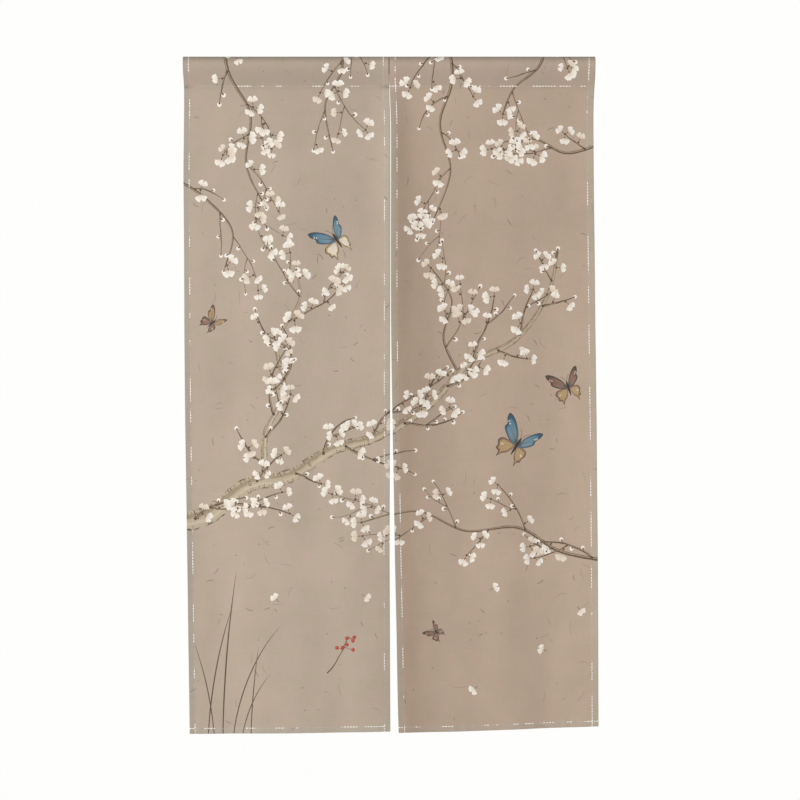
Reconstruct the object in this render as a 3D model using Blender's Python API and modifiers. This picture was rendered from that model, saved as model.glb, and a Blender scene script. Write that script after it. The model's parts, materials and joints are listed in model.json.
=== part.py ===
"""Split doorway curtain: two hemmed cloth panels hanging from sewn rod-pocket headings.

Metres, +Z up. The printed front faces -Y. The origin is the middle of the top edge, and
the cloth hangs from there down to about z = -1.415. Nothing that holds the curtain up is
modelled: the headings stand round the empty space of a rod.
"""

import math
from collections import namedtuple

import bmesh
import bpy

# Driving sizes
HEADING_WIDTH = 0.8600     # both headings together, end to end
HEADING_DROP = 0.0630      # top edge to the row of stitching under the rod pocket
ROD_SPACE = 0.0250         # inner diameter of the round top of the pocket
SEAM_X = -0.0004           # where the two hemmed pieces are joined in the heading
SEWN_BAND = 0.0045         # height over which the pocket's two layers lie together
CLOTH = 0.0012             # thickness of one layer
HEM = 0.0142               # width of the side and bottom hems
HEM_THICKNESS = 0.0022     # the hem's folded layers together
GAP = 0.0003               # left between neighbouring pieces
POCKET_ARC_STEPS = 14      # steps round the top of the pocket
LINEN = (0.49, 0.39, 0.30, 1.0)

# The outline at several drops below the top edge: where each panel's edges hang.
Level = namedtuple("Level", "drop left_edge left_slit right_slit right_edge")
OUTLINE = (
    Level(0.030, -0.4305, -0.0005, -0.0003, 0.4303),
    Level(0.050, -0.4294, -0.0005, -0.0003, 0.4299),
    Level(0.060, -0.4290, -0.0003, 0.0004, 0.4293),
    Level(0.075, -0.4287, 0.0002, 0.0014, 0.4284),
    Level(0.095, -0.4286, 0.0008, 0.0022, 0.4276),
    Level(0.120, -0.4287, 0.0016, 0.0031, 0.4271),
    Level(0.155, -0.4290, 0.0021, 0.0038, 0.4271),
    Level(0.250, -0.4299, 0.0022, 0.0038, 0.4279),
    Level(0.400, -0.4287, 0.0021, 0.0036, 0.4297),
    Level(0.500, -0.4283, 0.0019, 0.0037, 0.4307),
    Level(0.600, -0.4278, 0.0018, 0.0044, 0.4317),
    Level(0.750, -0.4264, 0.0017, 0.0067, 0.4337),
    Level(0.900, -0.4241, 0.0011, 0.0096, 0.4349),
    Level(1.050, -0.4218, 0.0008, 0.0121, 0.4364),
    Level(1.200, -0.4198, 0.0015, 0.0153, 0.4373),
    Level(1.330, -0.4178, 0.0019, 0.0176, 0.4377),
    Level(1.430, -0.4164, 0.0025, 0.0203, 0.4382),
)

# The hem line: how far down the bottom edge hangs, from one corner to the other.
HemPoint = namedtuple("HemPoint", "across drop")
LEFT_HEM = (
    HemPoint(-0.4166, 1.4150),
    HemPoint(-0.2700, 1.4144),
    HemPoint(-0.1000, 1.4126),
    HemPoint(0.0025, 1.4116),
)
RIGHT_HEM = (
    HemPoint(0.0199, 1.4107),
    HemPoint(0.1300, 1.4102),
    HemPoint(0.2320, 1.4072),
    HemPoint(0.3370, 1.4037),
    HemPoint(0.4381, 1.4006),
)

# How each panel turns out of its plane, by drop. slit_turn is the slope at the slit, over
# about slit_reach from it, and a positive one brings the slit edge forward. edge_turn and
# edge_reach are the same at the outer edge. lean is the slope of the whole panel.
Turn = namedtuple("Turn", "drop slit_turn slit_reach edge_turn edge_reach lean")
LEFT_TURNS = (
    Turn(0.063, 0.00, 0.025, 0.00, 0.020, 0.000),
    Turn(0.120, 0.04, 0.026, 0.04, 0.014, 0.002),
    Turn(0.300, 0.08, 0.030, 0.05, 0.014, 0.004),
    Turn(0.550, 0.05, 0.032, 0.05, 0.014, 0.004),
    Turn(0.800, -0.02, 0.045, 0.06, 0.015, 0.002),
    Turn(1.000, -0.12, 0.055, 0.08, 0.016, 0.000),
    Turn(1.200, -0.14, 0.062, 0.09, 0.016, -0.002),
    Turn(1.430, -0.14, 0.062, 0.09, 0.018, -0.003),
)
RIGHT_TURNS = (
    Turn(0.063, 0.00, 0.030, 0.00, 0.030, 0.000),
    Turn(0.095, 0.12, 0.034, 0.01, 0.040, 0.006),
    Turn(0.155, 0.18, 0.042, 0.04, 0.045, 0.016),
    Turn(0.250, 0.19, 0.054, 0.06, 0.050, 0.026),
    Turn(0.400, 0.20, 0.075, 0.07, 0.055, 0.034),
    Turn(0.550, 0.20, 0.098, 0.08, 0.055, 0.038),
    Turn(0.720, 0.20, 0.092, 0.08, 0.055, 0.040),
    Turn(0.850, 0.20, 0.066, 0.08, 0.050, 0.040),
    Turn(1.000, 0.19, 0.048, 0.08, 0.050, 0.040),
    Turn(1.200, 0.19, 0.050, 0.07, 0.050, 0.042),
    Turn(1.430, 0.20, 0.058, 0.06, 0.050, 0.044),
)

# Long soft folds: each is a ridge that comes forward by the given depth at the top, middle
# and hem, at a distance from the slit and with a half width. A minus depth is a trough.
Fold = namedtuple("Fold", "from_slit half_width top middle hem")
LEFT_FOLDS = (
    Fold(0.115, 0.040, 0.0012, 0.0006, -0.0014),
    Fold(0.215, 0.055, -0.0010, 0.0018, 0.0030),
    Fold(0.330, 0.045, 0.0008, -0.0012, -0.0026),
    Fold(0.405, 0.035, 0.0002, 0.0010, 0.0020),
)
RIGHT_FOLDS = (
    Fold(0.150, 0.045, 0.0014, -0.0010, -0.0016),
    Fold(0.235, 0.050, -0.0010, 0.0016, 0.0030),
    Fold(0.325, 0.045, 0.0010, -0.0014, -0.0024),
    Fold(0.385, 0.030, -0.0004, 0.0008, 0.0012),
)
FOLD_START = 0.063         # drop at which the folds begin
FOLD_GROWS = 0.110         # drop over which they come to their full depth
DROP_LONGEST = 1.415

# The net of points that each panel is sampled on
ACROSS_STEPS = 26
DOWN_STEPS = 34
HEM_STEP = 0.0012          # width of the slope between the hem's and the cloth's thickness


def along(rows, key, place, column):
    """A column's value at a place between rows, on a smooth curve through all of them."""
    places = [getattr(row, key) for row in rows]
    values = [getattr(row, column) for row in rows]
    place = min(max(place, places[0]), places[-1])
    after = next(i for i in range(1, len(places)) if place <= places[i])
    before = after - 1
    slopes = []
    for i in (before, after):
        low, high = max(i - 1, 0), min(i + 1, len(rows) - 1)
        slopes.append((values[high] - values[low]) / (places[high] - places[low]))
    span = places[after] - places[before]
    t = (place - places[before]) / span
    rise = values[after] - values[before]
    start = values[before] + t * t * (3 - 2 * t) * rise
    return start + span * t * (1 - t) * ((1 - t) * slopes[0] - t * slopes[1])


def turned_in(slope, reach, distance):
    """How far a slope that fades over reach has carried the cloth at a distance from it."""
    return slope * reach * math.sqrt(math.pi) / 2 * (1 - math.erf(distance / reach))


def fold_depth(fold, drop):
    """A fold's depth at a drop, on a curve through its depths at top, middle and hem."""
    t = min(max((drop - FOLD_START) / (DROP_LONGEST - FOLD_START), 0.0), 1.0)
    top, middle, hem = fold.top, fold.middle, fold.hem
    return top * (1 - t) * (1 - 2 * t) + 4 * middle * t * (1 - t) + hem * t * (2 * t - 1)


def forward(turns, folds, from_slit, from_edge, drop):
    """How far the cloth's front stands forward of its plane at a point."""
    row = {name: along(turns, "drop", drop, name) for name in Turn._fields[1:]}
    total = turned_in(row["slit_turn"], row["slit_reach"], from_slit)
    total += turned_in(row["edge_turn"], row["edge_reach"], from_edge)
    total += row["lean"] * (from_edge - from_slit) / 2
    grown = 1 - math.exp(-max(drop - FOLD_START, 0.0) / FOLD_GROWS)
    for fold in folds:
        ridge = math.exp(-((from_slit - fold.from_slit) / fold.half_width) ** 2)
        total += grown * fold_depth(fold, drop) * ridge
    return total


def hem_shares(steps, length, both_ends):
    """Shares from 0 to 1 along a side, with a pair of lines at each hem's step."""
    first, last = HEM / length, (HEM + HEM_STEP) / length
    start = [0.0, first] if both_ends else []
    low = last if both_ends else 0.0
    count = steps - len(start) - 2
    inner = [low + (1 - last - low) * i / count for i in range(count + 1)]
    return [*start, *inner, 1 - first, 1.0]


def linen(name):
    """A plain printed-linen finish for one piece."""
    material = bpy.data.materials.new(name)
    material.use_nodes = True
    shader = material.node_tree.nodes["Principled BSDF"]
    shader.inputs["Base Color"].default_value = LINEN
    shader.inputs["Roughness"].default_value = 0.9
    shader.inputs["Metallic"].default_value = 0.0
    material.diffuse_color = LINEN
    return material


def panel(name, edge, slit, hem, turns, folds, collection):
    """A hanging panel: a net moved onto its folds, then given its thickness to the back."""
    mesh = bpy.data.meshes.new(name)
    net = bmesh.new()
    bmesh.ops.create_grid(net, x_segments=ACROSS_STEPS, y_segments=DOWN_STEPS, size=0.5)
    across = hem_shares(ACROSS_STEPS, hem[-1].across - hem[0].across, both_ends=True)
    down = hem_shares(DOWN_STEPS, DROP_LONGEST - HEADING_DROP, both_ends=False)
    top = HEADING_DROP + GAP
    hem_points = []
    for point in net.verts:
        column = round((point.co.x + 0.5) * ACROSS_STEPS)
        row = round((0.5 - point.co.y) * DOWN_STEPS)
        share = across[column]
        left_x = hem[0].across + share * (hem[-1].across - hem[0].across)
        bottom = along(hem, "across", left_x, "drop")
        drop = top + down[row] * (bottom - top)
        sides = sorted(along(OUTLINE, "drop", drop, side) for side in (edge, slit))
        x = sides[0] + share * (sides[1] - sides[0])
        from_left, from_right = x - sides[0], sides[1] - x
        from_slit, from_edge = (from_right, from_left)
        if slit == "right_slit":
            from_slit, from_edge = from_left, from_right
        y = -CLOTH / 2 - forward(turns, folds, from_slit, from_edge, drop)
        point.co = (x, y, -drop)
        if min(from_slit, from_edge, bottom - drop) < HEM + HEM_STEP / 2:
            hem_points.append(point.index)
    net.normal_update()
    net.faces.ensure_lookup_table()
    if net.faces[0].normal.y > 0:
        bmesh.ops.reverse_faces(net, faces=net.faces)
    net.to_mesh(mesh)
    net.free()
    mesh.shade_smooth()
    mesh.materials.append(linen(name))
    shape = bpy.data.objects.new(name, mesh)
    collection.objects.link(shape)
    shape.vertex_groups.new(name="hem").add(hem_points, 1.0, "REPLACE")
    wall = shape.modifiers.new("thickness", "SOLIDIFY")
    wall.thickness = HEM_THICKNESS
    wall.offset = -1.0
    wall.vertex_group = "hem"
    wall.thickness_vertex_group = CLOTH / HEM_THICKNESS
    return shape


def pocket_outline(radius, foot_half, foot_drop, centre_y):
    """A drop-shaped outline as (y, drop) points: a round top over straight sides."""
    top_drop = CLOTH + ROD_SPACE / 2
    below = foot_drop - top_drop
    reach = math.hypot(below, foot_half)
    turn = math.asin((radius - foot_half * below / reach) / reach)
    points = [(centre_y - foot_half, foot_drop)]
    sweep = math.pi + 2 * turn
    for i in range(POCKET_ARC_STEPS + 1):
        angle = -turn + sweep * i / POCKET_ARC_STEPS
        points.append((centre_y - radius * math.cos(angle), top_drop - radius * math.sin(angle)))
    points.append((centre_y + foot_half, foot_drop))
    return points


def heading(name, start, end, collection):
    """A rod pocket: two layers round the rod's space that come together at the stitching."""
    curve = bpy.data.curves.new(name, "CURVE")
    curve.dimensions = "2D"
    curve.fill_mode = "BOTH"
    curve.extrude = (end - start) / 2
    outer_radius = ROD_SPACE / 2 + CLOTH
    foot_centre = CLOTH / 2
    outlines = (
        pocket_outline(outer_radius, CLOTH, HEADING_DROP, foot_centre),
        pocket_outline(ROD_SPACE / 2, GAP / 2, HEADING_DROP - SEWN_BAND, foot_centre),
    )
    for outline in outlines:
        spline = curve.splines.new("POLY")
        spline.points.add(len(outline) - 1)
        spline.use_cyclic_u = True
        for point, (y, drop) in zip(spline.points, outline):
            point.co = (y, -drop, 0.0, 1.0)
    curve.materials.append(linen(name))
    shape = bpy.data.objects.new(name, curve)
    # The curve's own X, Y and Z become the curtain's Y, Z and X.
    shape.rotation_euler = (math.pi / 2, 0.0, math.pi / 2)
    shape.location = ((start + end) / 2, 0.0, 0.0)
    collection.objects.link(shape)
    weld = shape.modifiers.new("weld", "WELD")
    weld.merge_threshold = 0.00001
    return shape


def build():
    for thing in list(bpy.data.objects):
        bpy.data.objects.remove(thing)
    collection = bpy.data.collections.new("doorway_curtain")
    bpy.context.scene.collection.children.link(collection)
    half = HEADING_WIDTH / 2
    heading("heading_left", -half, SEAM_X - GAP / 2, collection)
    heading("heading_right", SEAM_X + GAP / 2, half, collection)
    sides = (
        ("left", LEFT_HEM, LEFT_TURNS, LEFT_FOLDS),
        ("right", RIGHT_HEM, RIGHT_TURNS, RIGHT_FOLDS),
    )
    for side, hem, turns, folds in sides:
        panel(f"panel_{side}", f"{side}_edge", f"{side}_slit", hem, turns, folds, collection)


build()
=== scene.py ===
# %% [markdown]
# # A split doorway curtain
#
# The real thing is two lengths of thin, linen-look cloth, printed on the front, hemmed on
# every side and joined at the top. The top of each length is turned to the back and sewn
# down, so that a rod can slide through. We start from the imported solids, which say exactly
# where the cloth hangs, and lay a finer cloth over them.

# %% Load the frame
import json
import math
import random
from collections import namedtuple

import bpy
import numpy as np
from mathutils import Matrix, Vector, geometry

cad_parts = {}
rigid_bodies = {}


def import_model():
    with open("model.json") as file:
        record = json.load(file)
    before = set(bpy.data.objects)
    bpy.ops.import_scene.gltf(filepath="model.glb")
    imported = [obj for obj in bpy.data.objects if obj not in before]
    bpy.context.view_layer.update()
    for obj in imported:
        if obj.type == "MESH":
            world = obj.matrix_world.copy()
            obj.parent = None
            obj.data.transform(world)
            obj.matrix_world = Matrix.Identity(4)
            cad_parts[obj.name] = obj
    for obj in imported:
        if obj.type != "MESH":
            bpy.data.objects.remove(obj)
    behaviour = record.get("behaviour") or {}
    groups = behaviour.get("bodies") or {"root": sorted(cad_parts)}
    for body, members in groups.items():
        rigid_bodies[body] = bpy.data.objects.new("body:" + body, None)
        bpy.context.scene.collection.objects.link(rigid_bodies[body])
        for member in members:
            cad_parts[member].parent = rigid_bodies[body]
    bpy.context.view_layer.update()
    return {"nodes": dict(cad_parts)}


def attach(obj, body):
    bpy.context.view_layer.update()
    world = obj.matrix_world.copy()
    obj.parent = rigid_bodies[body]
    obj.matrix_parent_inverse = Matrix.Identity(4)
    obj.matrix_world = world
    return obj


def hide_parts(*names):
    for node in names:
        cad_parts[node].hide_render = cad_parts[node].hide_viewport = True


for leftover in list(bpy.data.objects):
    bpy.data.objects.remove(leftover)
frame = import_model()
print("solids:", sorted(frame["nodes"]))

# %% [markdown]
# ## How the cloth hangs
#
# A hanging panel is nearly flat, and what makes it look like cloth is small: the slit edge
# of the right panel turns towards us, its outer edge falls away, and long soft folds run
# down to a hem that isn't quite level. Short tables hold those facts, a row for each height
# or fold. They are the same numbers as in the solids.

# %% Sizes of the cut and the hang
HEADING_DROP = 0.0630      # top edge to the row of stitching under the rod pocket
ROD_SPACE = 0.0250         # inner diameter of the round top of the pocket
LAYER = 0.0012             # one layer of cloth in the solids
DROP_LONGEST = 1.415


def rows_of(kind, *rows):
    return tuple(kind(*row) for row in rows)


Level = namedtuple("Level", "drop left_edge left_slit right_slit right_edge")
OUTLINE = rows_of(
    Level,
    (0.030, -0.4305, -0.0005, -0.0003, 0.4303),
    (0.050, -0.4294, -0.0005, -0.0003, 0.4299),
    (0.060, -0.4290, -0.0003, 0.0004, 0.4293),
    (0.075, -0.4287, 0.0002, 0.0014, 0.4284),
    (0.095, -0.4286, 0.0008, 0.0022, 0.4276),
    (0.120, -0.4287, 0.0016, 0.0031, 0.4271),
    (0.155, -0.4290, 0.0021, 0.0038, 0.4271),
    (0.250, -0.4299, 0.0022, 0.0038, 0.4279),
    (0.400, -0.4287, 0.0021, 0.0036, 0.4297),
    (0.500, -0.4283, 0.0019, 0.0037, 0.4307),
    (0.600, -0.4278, 0.0018, 0.0044, 0.4317),
    (0.750, -0.4264, 0.0017, 0.0067, 0.4337),
    (0.900, -0.4241, 0.0011, 0.0096, 0.4349),
    (1.050, -0.4218, 0.0008, 0.0121, 0.4364),
    (1.200, -0.4198, 0.0015, 0.0153, 0.4373),
    (1.330, -0.4178, 0.0019, 0.0176, 0.4377),
    (1.430, -0.4164, 0.0025, 0.0203, 0.4382),
)

HemPoint = namedtuple("HemPoint", "across drop")
HEM_LINE = {
    "left": rows_of(
        HemPoint,
        (-0.4166, 1.4150),
        (-0.2700, 1.4144),
        (-0.1000, 1.4126),
        (0.0025, 1.4116),
    ),
    "right": rows_of(
        HemPoint,
        (0.0199, 1.4107),
        (0.1300, 1.4102),
        (0.2320, 1.4072),
        (0.3370, 1.4037),
        (0.4381, 1.4006),
    ),
}

Turn = namedtuple("Turn", "drop slit_turn slit_reach edge_turn edge_reach lean")
TURNS = {
    "left": rows_of(
        Turn,
        (0.063, 0.00, 0.025, 0.00, 0.020, 0.000),
        (0.120, 0.04, 0.026, 0.04, 0.014, 0.002),
        (0.300, 0.08, 0.030, 0.05, 0.014, 0.004),
        (0.550, 0.05, 0.032, 0.05, 0.014, 0.004),
        (0.800, -0.02, 0.045, 0.06, 0.015, 0.002),
        (1.000, -0.12, 0.055, 0.08, 0.016, 0.000),
        (1.200, -0.14, 0.062, 0.09, 0.016, -0.002),
        (1.430, -0.14, 0.062, 0.09, 0.018, -0.003),
    ),
    "right": rows_of(
        Turn,
        (0.063, 0.00, 0.030, 0.00, 0.030, 0.000),
        (0.095, 0.12, 0.034, 0.01, 0.040, 0.006),
        (0.155, 0.18, 0.042, 0.04, 0.045, 0.016),
        (0.250, 0.19, 0.054, 0.06, 0.050, 0.026),
        (0.400, 0.20, 0.075, 0.07, 0.055, 0.034),
        (0.550, 0.20, 0.098, 0.08, 0.055, 0.038),
        (0.720, 0.20, 0.092, 0.08, 0.055, 0.040),
        (0.850, 0.20, 0.066, 0.08, 0.050, 0.040),
        (1.000, 0.19, 0.048, 0.08, 0.050, 0.040),
        (1.200, 0.19, 0.050, 0.07, 0.050, 0.042),
        (1.430, 0.20, 0.058, 0.06, 0.050, 0.044),
    ),
}

Fold = namedtuple("Fold", "from_slit half_width top middle hem")
FOLDS = {
    "left": rows_of(
        Fold,
        (0.115, 0.040, 0.0012, 0.0006, -0.0014),
        (0.215, 0.055, -0.0010, 0.0018, 0.0030),
        (0.330, 0.045, 0.0008, -0.0012, -0.0026),
        (0.405, 0.035, 0.0002, 0.0010, 0.0020),
    ),
    "right": rows_of(
        Fold,
        (0.150, 0.045, 0.0014, -0.0010, -0.0016),
        (0.235, 0.050, -0.0010, 0.0016, 0.0030),
        (0.325, 0.045, 0.0010, -0.0014, -0.0024),
        (0.385, 0.030, -0.0004, 0.0008, 0.0012),
    ),
}
FOLD_START = 0.063         # the folds grow from nothing below the pocket
FOLD_GROWS = 0.110         # and are mostly there this much further down

# %% Read the tables at any place
erf = np.vectorize(math.erf)


def along(rows, column, places):
    """A column's values at many places, on a smooth curve through all of its rows."""
    at = np.array([row[0] for row in rows])
    values = np.array([getattr(row, column) for row in rows])
    last = len(rows) - 1
    low = np.maximum(np.arange(last + 1) - 1, 0)
    high = np.minimum(np.arange(last + 1) + 1, last)
    slopes = (values[high] - values[low]) / (at[high] - at[low])
    places = np.clip(places, at[0], at[-1])
    after = np.clip(np.searchsorted(at, places), 1, last)
    before = after - 1
    span = at[after] - at[before]
    t = (places - at[before]) / span
    soft = values[before] + t * t * (3 - 2 * t) * (values[after] - values[before])
    return soft + span * t * (1 - t) * ((1 - t) * slopes[before] - t * slopes[after])


def turned_in(slope, reach, distance):
    return slope * reach * math.sqrt(math.pi) / 2 * (1 - erf(distance / reach))


def forward(side, from_slit, from_edge, drop):
    """How far the cloth stands forward of its plane."""
    row = {name: along(TURNS[side], name, drop) for name in Turn._fields[1:]}
    total = turned_in(row["slit_turn"], row["slit_reach"], from_slit)
    total = total + turned_in(row["edge_turn"], row["edge_reach"], from_edge)
    total = total + row["lean"] * (from_edge - from_slit) / 2
    grown = 1 - np.exp(-np.maximum(drop - FOLD_START, 0) / FOLD_GROWS)
    t = np.clip((drop - FOLD_START) / (DROP_LONGEST - FOLD_START), 0, 1)
    for fold in FOLDS[side]:
        depth = fold.top * (1 - t) * (1 - 2 * t) + 4 * fold.middle * t * (1 - t)
        depth = depth + fold.hem * t * (2 * t - 1)
        ridge = np.exp(-(((from_slit - fold.from_slit) / fold.half_width) ** 2))
        total = total + grown * depth * ridge
    return total


print("the right panel's slit edge stands forward by",
      np.round(forward("right", 0.0, 0.42, np.array([0.1, 0.5, 1.0, 1.4])) * 1000, 1), "mm")

# %% [markdown]
# ## From a flat cut to hanging cloth
#
# A maker cuts a rectangle, folds each side in twice for a hem, and turns the top over for
# the pocket. We do the same: every point has flat coordinates, across and down the cut, and
# one function lays it in place. A hem is then a real fold with three layers, and the cloth
# keeps its true area.

# %% Sizes of the sewn cloth
CLOTH = 0.00045            # linen-look polyester, about 190 g to a square metre
LAYER_STEP = 0.00056       # from one layer's middle to the next in a sewn hem
HEM_WIDTH = 0.0148
HIDDEN_TURN = 0.0085       # what is turned in under the hem
OUTER_BEND = LAYER_STEP    # radius of a hem's outer fold, which goes round a layer
INNER_BEND = LAYER_STEP / 2
OUTER_ARC = math.pi * OUTER_BEND / 2
INNER_ARC = math.pi * INNER_BEND
EASE = OUTER_ARC - OUTER_BEND
HEM_RUN = HEM_WIDTH - OUTER_BEND - INNER_BEND
HEM_FLAT = OUTER_ARC + HEM_RUN + INNER_ARC + HIDDEN_TURN

POCKET_RADIUS = ROD_SPACE / 2 + LAYER
POCKET_MIDDLE = LAYER / 2  # the pocket's middle plane along Y
POCKET_FOOT = LAYER        # half the pocket's thickness at its foot, in the solids
foot_below = HEADING_DROP - POCKET_RADIUS
foot_reach = math.hypot(foot_below, POCKET_FOOT)
POCKET_TURN = math.atan2(foot_below, POCKET_FOOT) - math.acos(POCKET_RADIUS / foot_reach)
POCKET_ARC = POCKET_RADIUS * (math.pi / 2 + POCKET_TURN)
POCKET_RUN = POCKET_ARC + math.sqrt(foot_reach ** 2 - POCKET_RADIUS ** 2)
LIP = 0.0022               # the pocket's turned edge is this far below its stitching, behind
LIP_HIDDEN = 0.0090        # what is turned in above that edge
LIP_RUN = POCKET_RUN + LIP
BACK_RUN = LIP_RUN + INNER_ARC + LIP_HIDDEN
PANEL_END = POCKET_RUN + DROP_LONGEST - HEADING_DROP
PANEL_RUN = PANEL_END + EASE
SIDE_HEM_TOP = -LIP_RUN + 0.0105     # where the side hems start, on the pocket's back layer
SIDE_HEM_END = PANEL_RUN - 0.0018    # and where they end, inside the bottom hem
HEM_OPENS = 0.0008                   # past its ends, a side fold opens flat over this much
EDGE_INSET = 0.000175      # from the outline to the middle of the folded edge

WIDTH = {
    "left": OUTLINE[0].left_slit - OUTLINE[0].left_edge,
    "right": OUTLINE[0].right_edge - OUTLINE[0].right_slit,
}
FLAT_WIDTH = {side: WIDTH[side] + 2 * EASE for side in WIDTH}
CUT_WIDTH = {side: FLAT_WIDTH[side] + 2 * HEM_FLAT for side in WIDTH}
CUT_LENGTH = BACK_RUN + PANEL_RUN + HEM_FLAT
for side in WIDTH:
    print(side, "panel is cut", round(CUT_WIDTH[side], 3), "by", round(CUT_LENGTH, 3), "m")

# %% Small unevennesses of the cloth
Ripple = namedtuple("Ripple", "pitch_x pitch_z phase depth")
RIPPLES = (
    Ripple(0.190, 1.400, 0.4, 0.00070),
    Ripple(0.115, -0.800, 2.1, 0.00042),
    Ripple(0.072, 0.400, 4.0, 0.00020),
    Ripple(0.500, 0.210, 1.2, 0.00040),
)
RIPPLE_START = 0.063
RIPPLE_FULL = 0.20
SIDE_SHIFT = {"left": 0.0, "right": 1.7}    # so that the panels aren't alike
PUCKER_PITCH = 0.021
PUCKER_DEPTH = 0.00022
PUCKER_REACH = 0.016
SIDE_WANDER = (1.3, 23)    # how far the pitch wanders along a seam, and how fast
HEM_WANDER = (1.1, 31)


def smooth_step(low, high, value):
    t = np.clip((value - low) / (high - low), 0, 1)
    return t * t * (3 - 2 * t)


def puckers(place, wander, shift, near):
    """Small waves along a seam, which fade with the distance from it."""
    much, rate = wander
    drawn = np.sin(2 * math.pi * (place / PUCKER_PITCH + much * np.sin(place * rate + shift)))
    return PUCKER_DEPTH * drawn * np.exp(-(near / PUCKER_REACH) ** 2)


def ripples(side, x, drop, edge_near, hem_near):
    """Slack of the cloth between its folds, and the puckers that sewing draws up."""
    shift = SIDE_SHIFT[side]
    total = np.zeros_like(x)
    for ripple in RIPPLES:
        wave = 2 * math.pi * (x / ripple.pitch_x + drop / ripple.pitch_z)
        total = total + ripple.depth * np.sin(wave + ripple.phase + shift)
    total = total * smooth_step(RIPPLE_START, RIPPLE_FULL, drop)
    total = total + puckers(drop, SIDE_WANDER, shift, edge_near)
    return total + puckers(x, HEM_WANDER, shift, hem_near)


# %% Lay flat points in place
HEM_FADES = 0.010          # the side hem's extra thickness fades out over this width
FOOT_NEAR = 0.004          # the pocket's back layer is drawn in this near to its foot
FOOT_FAR = 0.026           # and lies free from this far on
DRAWN_IN = 0.0009
PUSHED_OUT = 0.0020        # over the side hems, whose layers lie between


def hem_fold(inside):
    """Where a point lies, for its flat distance inside a fold line, minus beyond it."""
    out = OUTER_ARC - inside
    bend = np.clip(out / OUTER_BEND, 0, math.pi)
    run = np.clip(out - 2 * OUTER_ARC, 0, HEM_RUN)
    turn = np.clip((out - 2 * OUTER_ARC - HEM_RUN) / INNER_BEND, 0, math.pi)
    hidden = np.maximum(out - 2 * OUTER_ARC - HEM_RUN - INNER_ARC, 0)
    place = OUTER_BEND * (1 - np.sin(bend)) + np.maximum(inside - OUTER_ARC, 0)
    place = place + run + INNER_BEND * np.sin(turn) - hidden
    return place, OUTER_BEND * (1 - np.cos(bend)), INNER_BEND * (1 - np.cos(turn))


def pocket(run, depth):
    """(y, drop) at a distance down from the top edge, minus on the back, and a depth in."""
    side = np.where(run < 0, -1.0, 1.0)
    run = np.abs(run)
    angle = np.clip(run / POCKET_RADIUS, 0, math.pi / 2 + POCKET_TURN)
    wall = np.maximum(run - POCKET_ARC, 0)
    out = (POCKET_RADIUS - depth) * np.sin(angle) - wall * math.sin(POCKET_TURN)
    drop = POCKET_RADIUS - (POCKET_RADIUS - depth) * np.cos(angle)
    return POCKET_MIDDLE - side * out, drop + wall * math.cos(POCKET_TURN)


def lay(side, across, down):
    """The middle of the cloth's thickness, for flat points of one panel."""
    width = WIDTH[side]
    left = across < FLAT_WIDTH[side] / 2
    inside = np.where(left, across, FLAT_WIDTH[side] - across)
    place, outer, inner = hem_fold(inside)
    unhemmed = smooth_step(SIDE_HEM_END, SIDE_HEM_END + HEM_OPENS, down)
    unhemmed = unhemmed + smooth_step(SIDE_HEM_TOP, SIDE_HEM_TOP - HEM_OPENS, down)
    place = place + unhemmed * (inside * width / FLAT_WIDTH[side] - place)
    share = np.where(left, place, width - place) / width
    edge_near = np.minimum(share, 1 - share) * width
    over_side_hem = smooth_step(HEM_WIDTH + HEM_FADES, HEM_WIDTH, edge_near)

    hem_place, hem_outer, hem_inner = hem_fold(PANEL_RUN - down)
    lip_turn = np.clip((-down - LIP_RUN) / INNER_BEND, 0, math.pi)
    lip_hidden = np.maximum(-down - LIP_RUN - INNER_ARC, 0)
    run = np.where(down < 0, np.maximum(down, -LIP_RUN), PANEL_END - hem_place)
    run = run - INNER_BEND * np.sin(lip_turn) + lip_hidden
    depth = CLOTH / 2 + (outer - inner) * (1 - unhemmed)
    depth = depth + hem_outer * (1 + over_side_hem) - hem_inner
    depth = depth + INNER_BEND * (1 - np.cos(lip_turn))
    near_foot = smooth_step(FOOT_FAR, FOOT_NEAR, POCKET_RUN - np.abs(run))
    drawn_in = DRAWN_IN - PUSHED_OUT * over_side_hem
    depth = depth + np.where(run < 0, drawn_in * near_foot, 0.0)

    hem = HEM_LINE[side]
    hem_at = hem[0].across + share * (hem[-1].across - hem[0].across)
    longest = along(hem, "drop", hem_at)
    drop = HEADING_DROP + (run - POCKET_RUN) * (longest - HEADING_DROP) / (PANEL_END - POCKET_RUN)
    in_pocket = run < POCKET_RUN
    pocket_y, pocket_drop = pocket(run, depth)
    drop = np.where(in_pocket, pocket_drop, drop)
    names = ("left_edge", "left_slit") if side == "left" else ("right_slit", "right_edge")
    low = along(OUTLINE, names[0], drop) + EDGE_INSET
    high = along(OUTLINE, names[1], drop) - EDGE_INSET
    x = low + share * (high - low)
    from_slit, from_edge = (high - x, x - low) if side == "left" else (x - low, high - x)
    y = depth - LAYER / 2 - forward(side, from_slit, from_edge, drop)
    y = y - ripples(side, x, drop, edge_near, longest - drop)
    return np.stack([x, np.where(in_pocket, pocket_y, y), -drop], axis=-1)


def lay_with_normals(side, across, down, step=0.00006):
    """The laid points, and the directions in which their printed face looks."""
    over = lay(side, across + step, down) - lay(side, across - step, down)
    along_cut = lay(side, across, down + step) - lay(side, across, down - step)
    normals = np.cross(along_cut, over)
    lengths = np.maximum(np.linalg.norm(normals, axis=1), 1e-12)
    return lay(side, across, down), normals / lengths[:, None]


laid = lay("left", np.array([0.0, 0.2, 0.2, 0.2]), np.array([0.5, 0.0, 0.5, PANEL_RUN]))
print("points at an edge, the top, the middle and the hem, mm:", np.round(laid * 1000, 1).tolist())

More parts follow.
